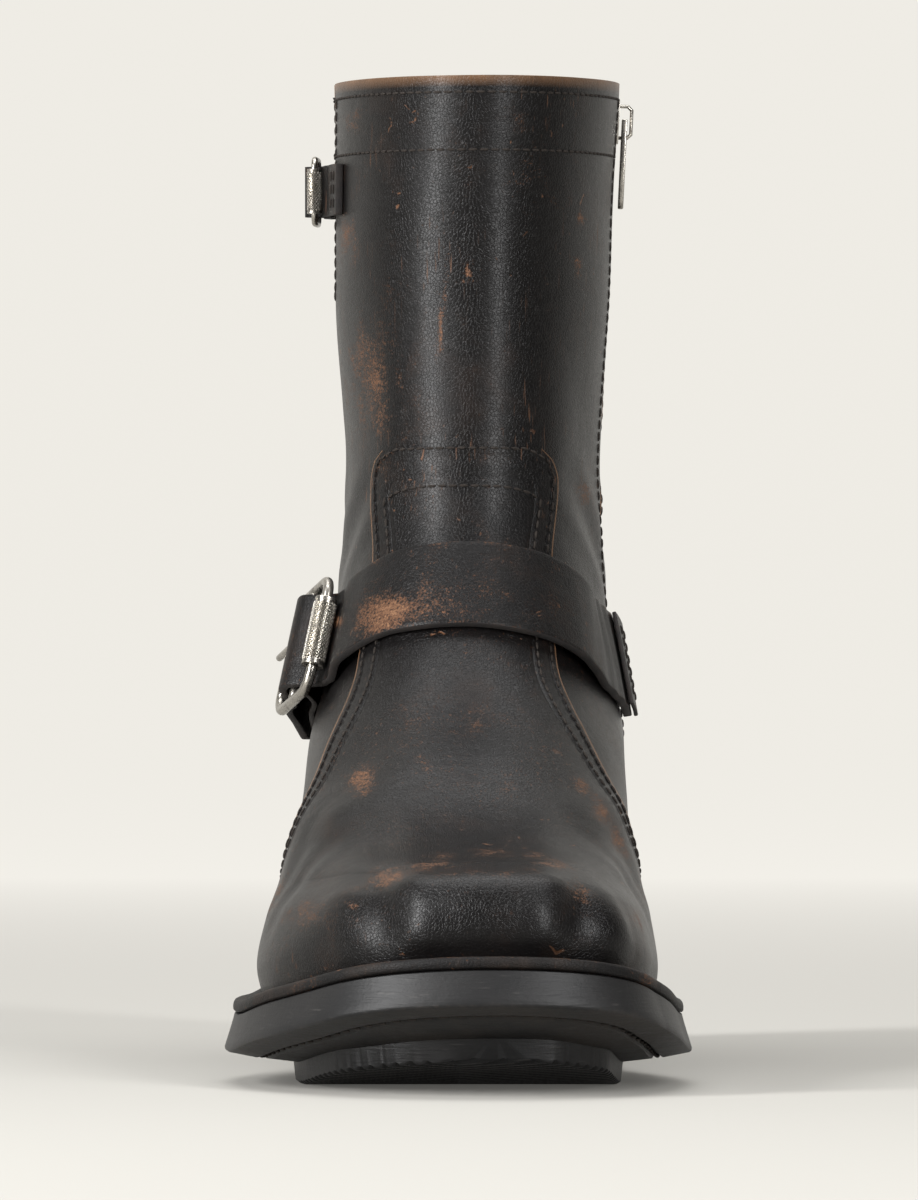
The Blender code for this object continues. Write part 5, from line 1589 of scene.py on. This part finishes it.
def makeZip():
    dressed("zip_tape", "zip_tape_cloth", "boot", "zip_tape", "tape", 0.0)
    low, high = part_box("zip_teeth")
    count = int((high.z - low.z) / zipLooks["pitch"] * 2)
    z = np.linspace(float(low.z) + 0.001, float(high.z) - 0.001, count)
    angle = zipAngle(z)
    out = skinNormal(ringOfHeight(z, angle), angle)
    off = -boot["upperWall"] - boot["gap"] * 1.3 + boot["gap"] * 1.5 + zipLooks["thick"] * 0.45
    centre = atHeight(z, angle, off)
    up = unit(np.gradient(centre, axis=0))
    aside = np.cross(up, out)
    side = np.where(np.arange(len(z)) % 2 == 0, 1.0, -1.0)[:, None]
    places = centre + aside * side * zipLooks["aside"]
    piece = scatter("zip_teeth_metal", places, aside * side, out, "tooth", "brass",
                    (zipLooks["toothLength"], zipLooks["tooth"], zipLooks["thick"]))
    bevel = piece.modifiers.new("round", "BEVEL")
    bevel.width = 0.00022
    bevel.segments = 2
    settle(piece)
    smoothShade(piece.data, 40)
    body(piece, "boot", "dark_brass", "zip_teeth")
    dressed("zip_slider", "zip_slider_metal", "boot", "dark_brass", "nickel", 0.0002)
    dressed("zip_pull", "zip_pull_metal", "pull", "dark_brass", "nickel", 0.0003)


makeWelt()
makeOutsole()
makeHeel()
dressed("insole", "insole_board", "boot", "insole_leather", "insole", 0.0004)
dressed("top_gusset", "top_gusset_leather", "boot", "strap_leather", "strap", 0.0002)
print("sole made")
makeZip()
makeStitches()
print("zip and stitches made")

# Floor, backdrop, lights and camera
studio = {
    "pale": (1.0, 0.973, 0.909),
    "paper": 0.31,
    "floorGlow": 0.07,
    "wallGlow": 0.84,
    "glowFull": 1.5,
    "floorFront": -1.5,
    "wallFoot": 6.2,
    "wallBend": 0.8,
    "wallTop": 12.0,
    "halfWidth": 14.0,
    "world": 0.80,
    "worldStrength": 0.07,
    "target": (0, -0.08, 0.13),
    # Name, place, size and power of each light
    "lights": [
        ("leftBox", (-1.31, -1.00, 0.60), (0.32, 1.5), 76),
        ("rightBox", (0.88, -1.42, 0.60), (0.18, 1.4), 37),
        ("topBox", (0.0, 0.05, 2.0), (1.8, 1.6), 50),
    ],
    "cameraPlace": (-0.004, -3.080, 0.140),
    "cameraPitch": 89.62,
    "lens": 348.0,
}


def makeStage():
    foot, bend, side = studio["wallFoot"], studio["wallBend"], studio["halfWidth"]
    profile = [(studio["floorFront"], 0.0), (foot, 0.0)]
    for turn in np.linspace(0.1, math.pi / 2, 14):
        profile.append((foot + bend * math.sin(turn), bend - bend * math.cos(turn)))
    profile.append((foot + bend, studio["wallTop"]))
    points = [(x, y, z) for y, z in profile for x in (-side, side)]
    faces = [(2 * i, 2 * i + 1, 2 * i + 3, 2 * i + 2) for i in range(len(profile) - 1)]
    mesh = meshOf("stage", points, faces)
    mesh.shade_smooth()
    stage = bpy.data.objects.new("stage", mesh)
    bpy.context.scene.collection.objects.link(stage)
    material = bpy.data.materials.new("palePaper")
    material.use_nodes = True
    nodes, link = material.node_tree.nodes, material.node_tree.links.new
    nodes.clear()
    diffuse, glow = nodes.new("ShaderNodeBsdfDiffuse"), nodes.new("ShaderNodeEmission")
    mixed, end = nodes.new("ShaderNodeMixShader"), nodes.new("ShaderNodeOutputMaterial")
    glow.inputs["Color"].default_value = (*studio["pale"], 1)
    diffuse.inputs["Color"].default_value = (*[part * studio["paper"] for part in studio["pale"]], 1)
    # The wall glows and the floor hardly does, so that the boot's shadow shows on it.
    place, split = nodes.new("ShaderNodeTexCoord"), nodes.new("ShaderNodeSeparateXYZ")
    share = nodes.new("ShaderNodeMapRange")
    share.inputs["From Max"].default_value = studio["glowFull"]
    share.inputs["To Min"].default_value = studio["floorGlow"]
    share.inputs["To Max"].default_value = studio["wallGlow"]
    link(place.outputs["Object"], split.inputs[0])
    link(split.outputs["Y"], share.inputs["Value"])
    link(share.outputs["Result"], mixed.inputs["Fac"])
    link(diffuse.outputs["BSDF"], mixed.inputs[1])
    link(glow.outputs["Emission"], mixed.inputs[2])
    link(mixed.outputs["Shader"], end.inputs["Surface"])
    mesh.materials.append(material)


def makeLights():
    for name, place, size, power in studio["lights"]:
        data = bpy.data.lights.new(name, "AREA")
        data.shape = "RECTANGLE"
        data.size, data.size_y = size
        data.energy = power
        light = bpy.data.objects.new(name, data)
        bpy.context.scene.collection.objects.link(light)
        light.location = place
        way = Vector(studio["target"]) - Vector(place)
        light.rotation_euler = way.to_track_quat("-Z", "Y").to_euler()
    world = bpy.data.worlds.new("room")
    world.use_nodes = True
    background = world.node_tree.nodes["Background"]
    background.inputs["Color"].default_value = (*[studio["world"]] * 3, 1)
    background.inputs["Strength"].default_value = studio["worldStrength"]
    bpy.context.scene.world = world
    bpy.context.scene.view_settings.view_transform = "Standard"


def makeCamera():
    data = bpy.data.cameras.new("camera")
    data.sensor_width = 36.0
    data.lens = studio["lens"]
    data.clip_end = 20
    camera = bpy.data.objects.new("camera", data)
    bpy.context.scene.collection.objects.link(camera)
    camera.location = studio["cameraPlace"]
    camera.rotation_euler = (math.radians(studio["cameraPitch"]), 0, 0)
    bpy.context.scene.camera = camera


makeStage()
makeLights()
makeCamera()
print("stage, lights and camera made")
